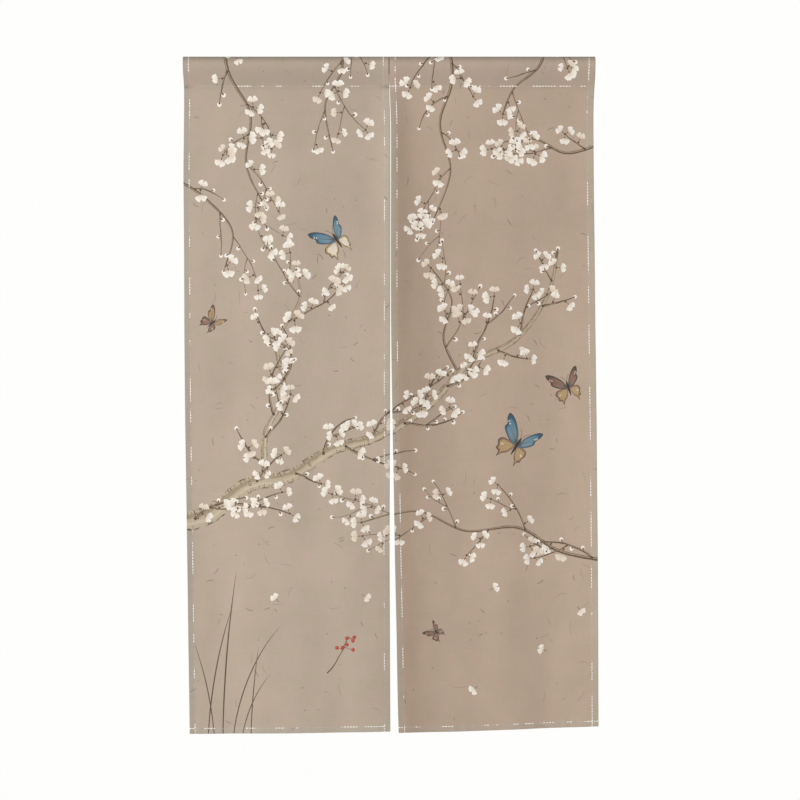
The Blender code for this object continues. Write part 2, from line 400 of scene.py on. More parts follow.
# %% [markdown]
# ## The print
#
# The cloth is printed on one face before it is cut: brown boughs with cream fan-shaped
# leaves, small buds and a few butterflies on a warm greige ground. It could be painted with
# nodes, but hundreds of small shapes are easier as polygons in the flat cut. Each one is
# grown from a few chosen points by a small function with a fixed seed, and the later ones
# lie over the earlier ones. Places are in metres: x from the curtain's middle, and down from
# its top edge along the cloth.

# %% Inks
def linear(hex_code):
    """A colour's linear red, green and blue, from its sRGB hex code."""
    parts = [int(hex_code[i:i + 2], 16) / 255 for i in (1, 3, 5)]
    return tuple(c / 12.92 if c <= 0.04045 else ((c + 0.055) / 1.055) ** 2.4 for c in parts)


Ink = namedtuple("Ink", "near far cover")   # colour at a shape's root, at its reach, and opacity
BARK_DARK = Ink("#5d4d3b", "#6b5a45", 0.92)
BARK_PALE = Ink("#bfb097", "#b5a48a", 0.96)
BARK_GLEAM = Ink("#cdc0a8", "#c2b298", 0.85)
BARK_SHADE = Ink("#a08d72", "#97846a", 0.75)
BARK_MARK = Ink("#4d4032", "#6a5943", 0.88)
TWIG = Ink("#50402f", "#6a5742", 0.93)
TWIG_LIGHT = Ink("#a08c73", "#9c8870", 0.80)
LEAF = Ink("#e6d8c4", "#f7f1e8", 0.98)
LEAF_SHADE = Ink("#dccbb3", "#ece0cf", 0.97)
LEAF_VEIN = Ink("#8f7455", "#dccfba", 0.80)
LEAF_ROOT = Ink("#4f3b2c", "#6b5140", 0.95)
BUD = Ink("#f1e6d6", "#fbf6ee", 0.98)
HAIR = Ink("#5f564c", "#6f665b", 0.66)
WISP = Ink("#837a70", "#8e857a", 0.42)
REED = Ink("#3d352e", "#5c4f42", 0.92)
BERRY = Ink("#c9453a", "#b0352e", 0.95)
BERRY_GLEAM = Ink("#e9a090", "#d97a6a", 0.80)
WING_RIM = Ink("#4a4f52", "#35393b", 0.90)
WING_DEEP = Ink("#5b7f95", "#2f5670", 0.94)
WING_BLUE = Ink("#8fa9ae", "#4d7c96", 0.94)
WING_OCHRE = Ink("#c3aa7c", "#a98a5c", 0.92)
WING_RUST = Ink("#a98672", "#7d5745", 0.94)
WING_CREAM = Ink("#efe4d2", "#dccfb8", 0.94)
WING_DARK = Ink("#6b5c4f", "#4a3e36", 0.92)
BODY = Ink("#35302c", "#453d36", 0.97)

# %% Paint shapes
Shape = namedtuple("Shape", "points ink root reach")
painted = []


def paint(points, ink, root=None, reach=None):
    """Keep one closed shape; its ink goes from near to far with the distance from a root."""
    points = np.array(points, dtype=float)
    centre = points.mean(axis=0) if root is None else np.array(root, dtype=float)
    distances = np.linalg.norm(points - centre, axis=1)
    painted.append(Shape(points, ink, centre, distances.max() if reach is None else reach))


def turned(points, angle, scale=1.0, to=(0.0, 0.0), squeeze=1.0):
    """Points drawn round (0, 0), squeezed across, then turned, scaled and moved."""
    points = np.array(points, dtype=float) * (squeeze, 1.0) * scale
    cos, sin = math.cos(angle), math.sin(angle)
    return points @ np.array(((cos, -sin), (sin, cos))) + np.array(to)


def rounded(points, steps=4, closed=True):
    """A smooth outline through a few chosen points."""
    points = [np.array(p, dtype=float) for p in points]
    count = len(points)
    smooth = []
    for i in range(count if closed else count - 1):
        if closed:
            a, b, c, d = (points[(i + k) % count] for k in (-1, 0, 1, 2))
        else:
            a, b, c, d = (points[min(max(i + k, 0), count - 1)] for k in (-1, 0, 1, 2))
        for step in range(steps):
            t = step / steps
            smooth.append(b + 0.5 * t * (c - a + t * (2 * a - 5 * b + 4 * c - d
                                                      + t * (3 * b - a - 3 * c + d))))
    if not closed:
        smooth.append(points[-1])
    return np.array(smooth)


def ribbon(path, half_widths, ink, rough=0.0, chance=None, blunt=0.0):
    """Paint a stroke of changing width along a path."""
    path = np.array(path)
    ahead = np.gradient(path, axis=0)
    ahead = ahead / np.maximum(np.linalg.norm(ahead, axis=1), 1e-9)[:, None]
    across = np.stack([-ahead[:, 1], ahead[:, 0]], axis=1)
    widths = np.array(half_widths, dtype=float)
    one = widths.copy()
    other = widths.copy()
    if rough:
        one = one * [1 + rough * chance.uniform(-1, 1) for _ in one]
        other = other * [1 + rough * chance.uniform(-1, 1) for _ in other]
    tip = path[-1] + ahead[-1] * max(widths[-1], blunt)
    outline = np.concatenate([path + across * one[:, None], [tip],
                              (path - across * other[:, None])[::-1]])
    paint(outline, ink, root=path[0])


def disc(x, down, radius, ink, corners=9, flat=1.0, angle=0.0):
    steps = np.arange(corners) * 2 * math.pi / corners
    ring = np.stack([np.cos(steps) * radius, np.sin(steps) * radius * flat], axis=1)
    paint(turned(ring, angle, to=(x, down)), ink)


# %% Leaves and buds
LEAF_SIZE = 0.0168
SHADED_LEAVES = 0.22       # share of the fans that are painted in the darker ink
FAN_SPREAD = math.radians(66)
FAN_STEPS = 12
VEINS = (-0.60, 0.05, 0.66)               # places in the spread
STALK_WIDTHS = (0.0005, 0.0004, 0.0004)
SPUR_SIZE = 0.0024


def fan_leaf(x, down, size, angle, chance, shade=False):
    """A fan-shaped leaf on its stalk, with a notch, a dark root and fine veins."""
    stalk = 0.45 * size
    root = turned([(0, stalk)], angle, to=(x, down))[0]
    stalk_path = turned([(0, 0), (0.02 * size, 0.5 * stalk), (0, stalk)], angle, to=(x, down))
    ribbon(stalk_path, STALK_WIDTHS, TWIG)
    squeeze = chance.uniform(0.80, 1.0)
    lean = chance.uniform(-0.10, 0.10)
    notch = chance.uniform(0.25, 0.5)
    outline = [(-0.05, 0.0), (-0.22, 0.20)]
    for step in range(FAN_STEPS + 1):
        at = -FAN_SPREAD + 2 * FAN_SPREAD * step / FAN_STEPS
        far = 1.0 - notch * math.exp(-((at - lean) / 0.11) ** 2)
        far = far - 0.16 * (at / FAN_SPREAD) ** 4 + 0.035 * math.sin(at * 13 + lean * 40)
        outline.append((far * math.sin(at), far * math.cos(at)))
    outline = outline + [(0.22, 0.20), (0.05, 0.0)]
    fan = turned(outline, angle, size, root, squeeze)
    paint(fan, LEAF_SHADE if shade else LEAF, root=root, reach=size)
    for vein in VEINS:
        far = 0.86 + chance.uniform(-0.08, 0.04)
        tip = (far * math.sin(vein * FAN_SPREAD), far * math.cos(vein * FAN_SPREAD))
        line = [(-0.022, 0.10), (0.022, 0.10), tip]
        paint(turned(line, angle, size, root, squeeze), LEAF_VEIN, root=root, reach=size)
    paint(turned([(-0.10, 0.01), (0.0, 0.17), (0.10, 0.01), (0.0, -0.08)], angle, size, root),
          LEAF_ROOT)


def spur(x, down, leaves, size, chance, angle=None):
    """A short shoot with a few fans spread round it."""
    start = chance.uniform(0, 2 * math.pi) if angle is None else angle
    for k in range(leaves):
        turn = start + k * 2 * math.pi / max(leaves, 3) + chance.uniform(-0.3, 0.3)
        fan_leaf(x, down, size * chance.uniform(0.82, 1.1), turn, chance,
                 shade=chance.random() < SHADED_LEAVES)
    disc(x, down, SPUR_SIZE, LEAF_ROOT, 8)


def bud(x, down, angle, chance):
    """A small bud on a short stalk."""
    length = chance.uniform(0.004, 0.008)
    size = chance.uniform(0.0036, 0.0050)
    path = turned([(0, 0), (0.0006, length * 0.5), (0, length)], angle, to=(x, down))
    ribbon(path, STALK_WIDTHS, TWIG)
    shape = [(0, -0.5), (-0.85, 0.1), (-0.80, 1.0), (0, 1.5), (0.80, 1.0), (0.85, 0.1)]
    paint(turned(rounded(shape, 2), angle, size, path[-1]), BUD)
    paint(turned([(0, -0.9), (-0.5, 0.1), (0, 0.5), (0.5, 0.1)], angle, size, path[-1]),
          LEAF_ROOT)


# %% Boughs and twigs
Knot = namedtuple("Knot", "x down half_width")
BOUGH_STEP = 0.007         # between places on a bough
TWIG_STEP = 0.006          # and on a twig
TWIG_BASE = 0.0026         # a twig starts no wider than this, to each side
LEAFY = 0.50               # share of a twig's places that carry fans, where the others carry buds
LEAFY_TIPS = 0.55


def bough_path(knots):
    """Even places on a smooth curve through a bough's knots, with its half widths."""
    curve = rounded(knots, 24, closed=False)
    steps = np.linalg.norm(np.diff(curve[:, :2], axis=0), axis=1)
    lengths = np.concatenate([[0], np.cumsum(steps)])
    at = np.linspace(0, lengths[-1], max(int(lengths[-1] / BOUGH_STEP), 3))
    return np.stack([np.interp(at, lengths, curve[:, k]) for k in range(3)], axis=1)


def twig(x, down, heading, length, half_width, bend, chance):
    """A twig that bends steadily as it grows, with small kinks at its nodes."""
    places = [(x, down)]
    count = max(int(length / TWIG_STEP), 4)
    for k in range(count):
        if k % 4 == 3:
            heading = heading + chance.uniform(-0.22, 0.22)
        heading = heading + bend / count
        x = x + TWIG_STEP * math.sin(heading)
        down = down + TWIG_STEP * math.cos(heading)
        places.append((x, down))
    widths = half_width * (1 - 0.58 * np.linspace(0, 1, len(places)) ** 0.9)
    return np.array(places), widths, heading


def dress_twig(places, heading, chance):
    """Fans and buds along a twig, to each side in turn, and one at its tip."""
    travelled = chance.uniform(0.010, 0.028)
    side = 1 if chance.random() < 0.5 else -1
    length = TWIG_STEP * (len(places) - 1)
    while travelled < length:
        k = min(int(travelled / TWIG_STEP), len(places) - 2)
        x, down = places[k]
        ahead = places[k + 1] - places[k]
        out = math.atan2(ahead[0], ahead[1]) + side * chance.uniform(0.7, 1.35)
        if chance.random() < LEAFY:
            spur(x + 0.004 * math.sin(out), down + 0.004 * math.cos(out),
                 chance.choice((1, 1, 2, 3)), LEAF_SIZE, chance, out - 0.4)
        else:
            bud(x, down, out, chance)
        side = -side
        travelled = travelled + chance.uniform(0.020, 0.042)
    x, down = places[-1]
    if chance.random() < LEAFY_TIPS:
        spur(x, down, chance.choice((2, 3)), LEAF_SIZE, chance, heading)
    else:
        bud(x, down, heading, chance)


# %% [markdown]
# The boughs come first, each from a few knots with a place and a half width. The thick one
# is pale inside a dark outline, with short marks across its bark. Twigs leave it on
# alternate sides, and each twig may carry a smaller one.

# %% Grow the boughs
PALE_BOUGHS = (
    rows_of(Knot, (-0.470, 0.985, 0.0205), (-0.385, 0.968, 0.0185), (-0.300, 0.905, 0.0160),
            (-0.215, 0.888, 0.0140), (-0.120, 0.832, 0.0118), (-0.030, 0.806, 0.0098),
            (0.075, 0.742, 0.0080), (0.160, 0.655, 0.0066), (0.262, 0.604, 0.0052),
            (0.330, 0.512, 0.0037), (0.352, 0.420, 0.0025)),
    rows_of(Knot, (-0.262, 0.892, 0.0070), (-0.262, 0.800, 0.0058), (-0.222, 0.710, 0.0046),
            (-0.236, 0.610, 0.0036), (-0.190, 0.520, 0.0026), (-0.196, 0.455, 0.0018)),
)
DARK_BOUGHS = (
    rows_of(Knot, (0.455, 1.075, 0.0038), (0.350, 1.052, 0.0033), (0.262, 1.000, 0.0028),
            (0.150, 1.004, 0.0023), (0.050, 0.962, 0.0018), (-0.060, 0.985, 0.0012)),
    rows_of(Knot, (-0.350, -0.090, 0.0036), (-0.336, 0.040, 0.0032), (-0.292, 0.130, 0.0027),
            (-0.300, 0.235, 0.0021), (-0.262, 0.320, 0.0014)),
    rows_of(Knot, (0.110, -0.090, 0.0034), (0.132, 0.050, 0.0030), (0.104, 0.150, 0.0025),
            (0.126, 0.250, 0.0019), (0.090, 0.352, 0.0012)),
    rows_of(Knot, (0.455, 0.190, 0.0032), (0.372, 0.212, 0.0028), (0.300, 0.182, 0.0023),
            (0.222, 0.216, 0.0015)),
    rows_of(Knot, (-0.110, -0.090, 0.0026), (-0.097, 0.030, 0.0024), (-0.135, 0.110, 0.0019),
            (-0.121, 0.200, 0.0012)),
    rows_of(Knot, (0.140, 0.672, 0.0026), (0.110, 0.600, 0.0022), (0.128, 0.520, 0.0017),
            (0.084, 0.452, 0.0011)),
    rows_of(Knot, (-0.455, 0.262, 0.0030), (-0.392, 0.300, 0.0026), (-0.330, 0.372, 0.0020),
            (-0.345, 0.450, 0.0013)),
    rows_of(Knot, (0.330, -0.090, 0.0032), (0.318, 0.020, 0.0028), (0.262, 0.075, 0.0021),
            (0.238, 0.130, 0.0013)),
)
TWIG_EVERY = (0.050, 0.085)
MARK_WIDTHS = (0.0006, 0.00045, 0.0002)
MARKED_FROM = 0.0024       # a bough is marked where it is wider than this, to each side
EYES = ((0.36, BARK_MARK, 10), (0.24, BARK_GLEAM, 8), (0.11, BARK_MARK, 6))
SMALL_TWIG_FROM = 0.095    # a twig longer than this carries a smaller one
chance = random.Random(41)
dress = []


def sideways(places):
    """Unit steps across a path, to the left of the way along it."""
    across = np.stack([-np.gradient(places[:, 1]), np.gradient(places[:, 0])], axis=1)
    return across / np.linalg.norm(across, axis=1)[:, None]


def paint_twig(places, widths):
    """A dark stroke with a lighter one along its upper side."""
    ribbon(places, widths, TWIG, 0.18, chance)
    if widths[0] > 0.0009:
        lit = places + sideways(places) * widths[:, None] * 0.30
        half = max(len(places) // 2, 3)
        ribbon(lit[1:half], widths[1:half] * 0.42, TWIG_LIGHT, 0.15, chance)


def mark_bark(places, widths):
    """Shade along the lower side, a gleam along the upper one, and hatching at the edges."""
    across = sideways(places)
    low = places - across * widths[:, None] * 0.42
    ribbon(low[1:-3], widths[1:-3] * 0.26, BARK_SHADE, 0.5, chance)
    high = places + across * widths[:, None] * 0.40
    ribbon(high[1:-5], widths[1:-5] * 0.17, BARK_GLEAM, 0.5, chance)
    for k in range(2, len(places) - 3):
        for _ in range(3):
            if widths[k] < MARKED_FROM or chance.random() < 0.35:
                continue
            edge = chance.choice((-1, -1, 1))
            along_it = (places[k + 1] - places[k]) * chance.uniform(0, 1)
            foot = places[k] + along_it + across[k] * widths[k] * edge * 0.98
            length = widths[k] * chance.uniform(0.25, 0.75)
            slant = chance.uniform(-0.5, 0.9)
            tip = foot - across[k] * length * edge + (places[k + 1] - places[k]) * slant * 0.5
            ribbon([foot, (foot + tip) / 2, tip], MARK_WIDTHS, BARK_MARK)
    for k in range(9, len(places) - 12, 19):
        eye = places[k] + across[k] * widths[k] * chance.uniform(-0.3, 0.3)
        turn = math.atan2(*(places[k + 1] - places[k]))
        for size, ink, corners in EYES:
            disc(*eye, widths[k] * size, ink, corners, 0.6, turn)


def grow_bough(knots, pale):
    """Paint one bough with its twigs, and keep the twigs in a list to be dressed later."""
    path = bough_path(knots)
    widths = path[:, 2]
    places = path[:, :2]
    ribbon(places, widths, BARK_DARK, 0.10, chance, blunt=0.001)
    if pale:
        inner = np.maximum(widths - 0.0008, widths * 0.6)
        ribbon(places[:-2], inner[:-2], BARK_PALE, 0.14, chance)
        mark_bark(places, inner)
    else:
        lit = places + sideways(places) * widths[:, None] * 0.32
        ribbon(lit[:-4], widths[:-4] * 0.34, TWIG_LIGHT, 0.3, chance)
    travelled = chance.uniform(0.03, 0.06)
    side = 1 if chance.random() < 0.5 else -1
    while travelled < BOUGH_STEP * (len(places) - 3):
        k = int(travelled / BOUGH_STEP)
        ahead = places[k + 1] - places[k]
        heading = math.atan2(ahead[0], ahead[1]) + side * chance.uniform(0.55, 1.0)
        length = chance.uniform(0.055, 0.15)
        base = min(widths[k] * 0.66, TWIG_BASE)
        bend = -side * chance.uniform(0.1, 0.9)
        grown, sizes, end = twig(*places[k], heading, length, base, bend, chance)
        paint_twig(grown, sizes)
        dress.append((grown, end))
        if length > SMALL_TWIG_FROM:
            k = int(len(grown) * chance.uniform(0.35, 0.6))
            ahead = grown[k + 1] - grown[k]
            heading = math.atan2(ahead[0], ahead[1]) - side * chance.uniform(0.6, 1.0)
            small, sizes, end = twig(*grown[k], heading, length * 0.55, base * 0.75,
                                     0.3 * side, chance)
            paint_twig(small, sizes)
            dress.append((small, end))
        side = -side
        travelled = travelled + chance.uniform(*TWIG_EVERY)
    end = places[-1] - places[-3]
    dress.append((places[-8:], math.atan2(end[0], end[1])))


FLECK_DRAWN = 0.024        # a fleck is drawn at this length and then shortened or stretched
Flecks = namedtuple("Flecks", "count shortest longest half_width ink")
FLECKS = rows_of(
    Flecks,
    (110, 0.014, 0.032, 0.0010, WISP),
    (60, 0.010, 0.021, 0.0008, HAIR),
    (110, 0.0020, 0.0034, 0.0013, HAIR),
)


def fleck(length, half_width, ink):
    """A short curved fibre, as in handmade paper, anywhere on the ground."""
    x = chance.uniform(-0.45, 0.46)
    down = chance.uniform(0.0, 1.42)
    path, sizes, end = twig(x, down, chance.uniform(0, 6.28), FLECK_DRAWN, 1.0,
                            chance.uniform(-1.6, 1.6), chance)
    path = path[0] + (path - path[0]) * length / FLECK_DRAWN
    ribbon(path, np.sin(np.linspace(0.5, 2.9, len(path))) * half_width, ink)


for row in FLECKS:
    for _ in range(row.count):
        fleck(chance.uniform(row.shortest, row.longest), row.half_width, row.ink)
for knots in DARK_BOUGHS:
    grow_bough(knots, False)
for knots in reversed(PALE_BOUGHS):
    grow_bough(knots, True)
for places, heading in dress:
    dress_twig(places, heading, chance)
print(len(painted), "shapes so far, on", len(DARK_BOUGHS + PALE_BOUGHS), "boughs and",
      len(dress), "twigs")

# %% [markdown]
# A few butterflies add the print's blue, rust and ochre. A wing is a smooth outline through a
# few points, filled three times, each time smaller: a dark rim, a band and the field, with
# veins that spread from its root. The other wing is mirrored and squeezed, as if the insect
# were turned a little away. Drifting leaves and a few reeds fill the quiet lower part.

# %% Butterflies, reeds, berries and drifting leaves
FOREWING = ((0.03, 0.06), (0.26, 0.50), (0.66, 0.88), (0.98, 0.98), (0.97, 0.74), (0.84, 0.56),
            (0.86, 0.36), (0.62, 0.14), (0.34, -0.02), (0.08, -0.05))
HINDWING = ((0.03, 0.02), (0.34, 0.00), (0.68, -0.04), (0.80, -0.24), (0.70, -0.40), (0.70, -0.58),
            (0.54, -0.64), (0.50, -0.86), (0.38, -0.64), (0.18, -0.46))
WING_TINTS = ((1.0, 0.0), (0.90, 0.03), (0.70, 0.05))    # size of each filling, and its shift in


def paint_wing(outline, tip, inks, flip, thin, place):
    """One wing with its fillings and veins. place is the butterfly's angle, half span and root."""
    angle, half, root = place
    mirror = (flip * thin, 1.0)
    wing = rounded(outline, 3)
    centre = wing.mean(axis=0)
    for (size, shift), ink in zip(WING_TINTS, inks):
        filled_part = (centre * (1 - shift) + (wing - centre) * size) * mirror
        paint(turned(filled_part, angle, half, root), ink, root=root, reach=half)
    for k in range(2, len(outline) - 2):
        end = np.array(outline[k]) * 0.93
        vein = np.array([(0.04, 0.0), end, (0.03, 0.03)]) * mirror
        paint(turned(vein, angle, half, root), inks[0])
    for share in (0.80, 0.90):
        spot = turned([np.array(tip) * share * mirror], angle, half, root)[0]
        disc(spot[0], spot[1], half * 0.035, WING_CREAM, 7)


def butterfly(x, down, span, angle, fore, hind, squeeze):
    """A butterfly seen from above: two pairs of wings, a body and feelers."""
    half = span / 2
    place = (angle, half, (x, down))
    for flip, thin in ((1.0, 1.0), (-1.0, squeeze)):
        paint_wing(HINDWING, (0.66, -0.36), hind, flip, thin, place)
        paint_wing(FOREWING, (0.92, 0.74), fore, flip, thin, place)
    body = rounded([(0, 0.34), (0.05, 0.24), (0.055, 0.05), (0.045, -0.30), (0, -0.50),
                    (-0.045, -0.30), (-0.055, 0.05), (-0.05, 0.24)], 2)
    paint(turned(body, angle, half, (x, down)), BODY)
    for flip in (1.0, -1.0):
        feeler = rounded([(0.02 * flip, 0.30), (0.10 * flip, 0.52), (0.24 * flip, 0.66)], 4,
                         closed=False)
        ribbon(turned(feeler, angle, half, (x, down)), np.linspace(0.00045, 0.0003, len(feeler)),
               BODY)


REED_FOOT = 1.47           # below the hem


def reed(x, height, lean, width):
    """A long thin blade that rises from below the hem and bows over."""
    t = np.linspace(0, 1, 22)
    down = REED_FOOT - height * t + 0.25 * abs(lean) * t ** 4
    places = np.stack([x + lean * t ** 1.8, down], axis=1)
    ribbon(places, width * np.sin(math.pi * (0.08 + 0.92 * t)) ** 0.7, REED)


REEDS = ((-0.392, 0.335, 0.060, 0.0013), (-0.376, 0.255, -0.045, 0.0011),
         (-0.360, 0.400, 0.035, 0.0015), (-0.340, 0.300, 0.110, 0.0012),
         (-0.322, 0.190, 0.070, 0.0010), (-0.300, 0.235, 0.020, 0.0011))
for row in REEDS:
    reed(*row)

BLUE_WING = (WING_RIM, WING_DEEP, WING_BLUE)
RUST_WING = (WING_RIM, WING_DARK, WING_RUST)
OCHRE_WING = (WING_DARK, WING_RUST, WING_OCHRE)
CREAM_WING = (WING_DARK, WING_OCHRE, WING_CREAM)
for row in ((0.262, 0.826, 0.100, 2.55, BLUE_WING, OCHRE_WING, 0.70),
            (-0.112, 0.392, 0.088, 3.75, BLUE_WING, CREAM_WING, 0.62),
            (0.372, 0.706, 0.078, 3.45, RUST_WING, OCHRE_WING, 0.76),
            (-0.372, 0.566, 0.056, 2.30, OCHRE_WING, RUST_WING, 0.60),
            (0.085, 1.215, 0.044, 4.00, RUST_WING, RUST_WING, 0.66)):
    butterfly(*row)

BERRY_SIZE = 0.0041
BERRIES = ((0.010, 0.009), (0.015, -0.004), (-0.008, 0.012), (0.004, -0.013), (0.020, 0.006),
           (-0.012, -0.004), (0.012, -0.016))    # steps from the stem, the tip's berry first
berry_stem, sizes, end = twig(-0.135, 1.300, 2.25, 0.095, 0.0013, 0.9, chance)
ribbon(berry_stem, sizes, TWIG, 0.1, chance)
for foot, step in zip(berry_stem[::-1], BERRIES):
    at = foot + step
    ribbon([foot, at], STALK_WIDTHS[:2], TWIG)
    disc(*at, BERRY_SIZE, BERRY, 10)
    disc(at[0] - 0.0012, at[1] - 0.0013, 0.0010, BERRY_GLEAM, 6)

DRIFTING = ((0.200, 1.130, 2.0), (0.322, 1.262, 4.4), (-0.060, 1.135, 1.0),
            (0.172, 1.330, 5.4), (-0.236, 1.150, 3.9), (0.386, 1.170, 0.7))
for x, down, angle in DRIFTING:
    fan_leaf(x, down, LEAF_SIZE * 0.9, angle, chance)
print(len(painted), "shapes in all, with", sum(len(s.points) for s in painted), "corners")

# %% [markdown]
# ## The cloth's mesh
#
# A regular net carries the folds, with closer lines where the cloth bends. The printed
# shapes are pressed into the same flat net, so each one has crisp edges. Then every corner
# is laid in place twice, half a thickness to each side, and a narrow rim closes the edge.

# %% Lines of the net
NET_STEP = 0.0085
HEM_LINES = (0.0022, 0.0045, 0.0080, 0.0122)    # extra lines over the hems' front layer
TOP_LINES = 29             # lines over the pocket's round top


def fold_lines():
    """Flat distances inside a hem's fold line at which the cloth bends, and minus beyond."""
    bend = [OUTER_ARC * k / 2 for k in (2, 1, 0, -1, -2)]
    second = -(OUTER_ARC + HEM_RUN)
    turn = [second - INNER_ARC * k / 3 for k in range(4)]
    return [HEM_WIDTH] + bend + [-(OUTER_ARC + HEM_RUN / 2)] + turn + [-HEM_FLAT]


def filled(low, high, step=NET_STEP):
    count = max(round((high - low) / step), 1)
    return list(low + (high - low) * np.arange(1, count) / count)


def net_lines(side):
    """Places of the net's columns and rows, and those that are creases."""
    flat = FLAT_WIDTH[side]
    creases = fold_lines()
    inside = creases + list(HEM_LINES)
    columns = inside + [flat - c for c in inside] + filled(HEM_WIDTH, flat - HEM_WIDTH)
    lip = [-LIP_RUN - INNER_ARC * k / 3 for k in range(4)] + [-BACK_RUN]
    bends = list(np.linspace(-POCKET_ARC, POCKET_ARC, TOP_LINES))
    walls = filled(POCKET_ARC, POCKET_RUN)
    rows = lip + [-w for w in walls] + bends + walls + [-POCKET_RUN, POCKET_RUN]
    rows = rows + [SIDE_HEM_TOP, SIDE_HEM_TOP - HEM_OPENS, SIDE_HEM_END, SIDE_HEM_END + HEM_OPENS]
    rows = rows + filled(POCKET_RUN, PANEL_RUN - HEM_WIDTH) + [PANEL_RUN - c for c in inside]
    crease_rows = lip + [-POCKET_RUN, 0.0, POCKET_RUN] + [PANEL_RUN - c for c in creases]
    crease_columns = creases + [flat - c for c in creases]
    return sorted(set(columns)), sorted(set(rows)), crease_columns, crease_rows


def cut_outline(side):
    """The flat cut's edge: a rectangle whose side hems stop short of both ends."""
    flat = FLAT_WIDTH[side]
    bottom = PANEL_RUN + HEM_FLAT
    return [(0, -BACK_RUN), (0, SIDE_HEM_TOP), (-HEM_FLAT, SIDE_HEM_TOP),
            (-HEM_FLAT, SIDE_HEM_END), (0, SIDE_HEM_END), (0, bottom), (flat, bottom),
            (flat, SIDE_HEM_END), (flat + HEM_FLAT, SIDE_HEM_END),
            (flat + HEM_FLAT, SIDE_HEM_TOP), (flat, SIDE_HEM_TOP), (flat, -BACK_RUN)]


def area_of(points):
    """A flat outline's area, minus when its corners run clockwise."""
    x, y = np.array(points).T
    return 0.5 * float(np.sum(x * np.roll(y, -1) - y * np.roll(x, -1)))


def area_of_all(across, down, triangles):
    x = across[triangles]
    y = down[triangles]
    crossed = np.abs((x[:, 1] - x[:, 0]) * (y[:, 2] - y[:, 0])
                     - (x[:, 2] - x[:, 0]) * (y[:, 1] - y[:, 0]))
    return 0.5 * float(np.sum(crossed))


# %% Press the printed shapes into the net
def flat_mesh(side):
    """The cut's corners and triangles, each triangle's top shape, and the shapes that fall on it.

    Shape 0 is the cut itself, and the last value is the cut's place across the curtain.
    """
    flat = FLAT_WIDTH[side]
    offset = OUTLINE[0].left_edge if side == "left" else OUTLINE[0].right_slit
    columns, rows, crease_columns, crease_rows = net_lines(side)
    points = [(x, -down) for x, down in cut_outline(side)]
    outline = points[::-1] if area_of(points) < 0 else points
    points = list(outline)
    faces = [list(range(len(outline)))]
    number = {}
    for i, across in enumerate(columns):
        for j, down in enumerate(rows):
            in_side_hem = SIDE_HEM_TOP <= down <= SIDE_HEM_END
            if 0 <= across <= flat or in_side_hem:
                number[i, j] = len(points)
                points.append((across, -down))
    pairs = [((i, j), (i, j + 1)) for i, across in enumerate(columns)
             if across in crease_columns for j in range(len(rows))]
    pairs += [((i, j), (i + 1, j)) for j, down in enumerate(rows)
              if down in crease_rows for i in range(len(columns))]
    edges = [(number[a], number[b]) for a, b in pairs if a in number and b in number]
    kept = [None]
    for shape in painted:
        spots = (shape.points - (offset, 0.0)) * (1.0, -1.0)
        outside = spots[:, 0].max() < -HEM_FLAT or spots[:, 0].min() > flat + HEM_FLAT
        if outside or spots[:, 1].max() < -PANEL_RUN - HEM_FLAT or spots[:, 1].min() > BACK_RUN:
            continue
        if area_of(spots) < 0:
            spots = spots[::-1]
        faces.append(list(range(len(points), len(points) + len(spots))))
        points += [tuple(spot) for spot in spots]
        kept.append(shape)
    found = geometry.delaunay_2d_cdt([Vector(p) for p in points], edges, faces, 0, 1e-7)
    corners = np.array([tuple(v) for v in found[0]])
    triangles = []
    top_shape = []
    for triangle, sources in zip(found[2], found[5]):
        if 0 in sources:
            triangles.append(triangle)
            top_shape.append(max(sources))
    across = corners[:, 0]
    down = -corners[:, 1]
    return across, down, np.array(triangles), np.array(top_shape), kept, offset


# %% Lay, thicken and ink one panel
SHOW_THROUGH = 0.30        # how much of the print shows on the plain face
PAGE_SIZE = (0.485, 0.98)  # of one face of the cut on the page for baking
PAGE_MARGIN = (0.005, 0.01)
PAGE_BACK = 0.495          # where the other face's half of the page starts


def ink_at(kept, top_shape, places):
    """Red, green, blue and cover at each triangle's corners."""
    result = np.zeros((len(top_shape), 3, 4))
    for k, shape in enumerate(kept):
        mine = top_shape == k
        if shape is None or not mine.any():
            continue
        reached = np.linalg.norm(places[mine] - shape.root, axis=2) / max(shape.reach, 1e-6)
        reached = np.clip(reached, 0, 1)[..., None]
        near = np.array(linear(shape.ink.near))
        far = np.array(linear(shape.ink.far))
        result[mine, :, :3] = near + (far - near) * reached
        result[mine, :, 3] = shape.ink.cover
    return result


def put(name, data):
    """A new object in the scene."""
    thing = bpy.data.objects.new(name, data)
    bpy.context.scene.collection.objects.link(thing)
    return thing


flat_of = {}


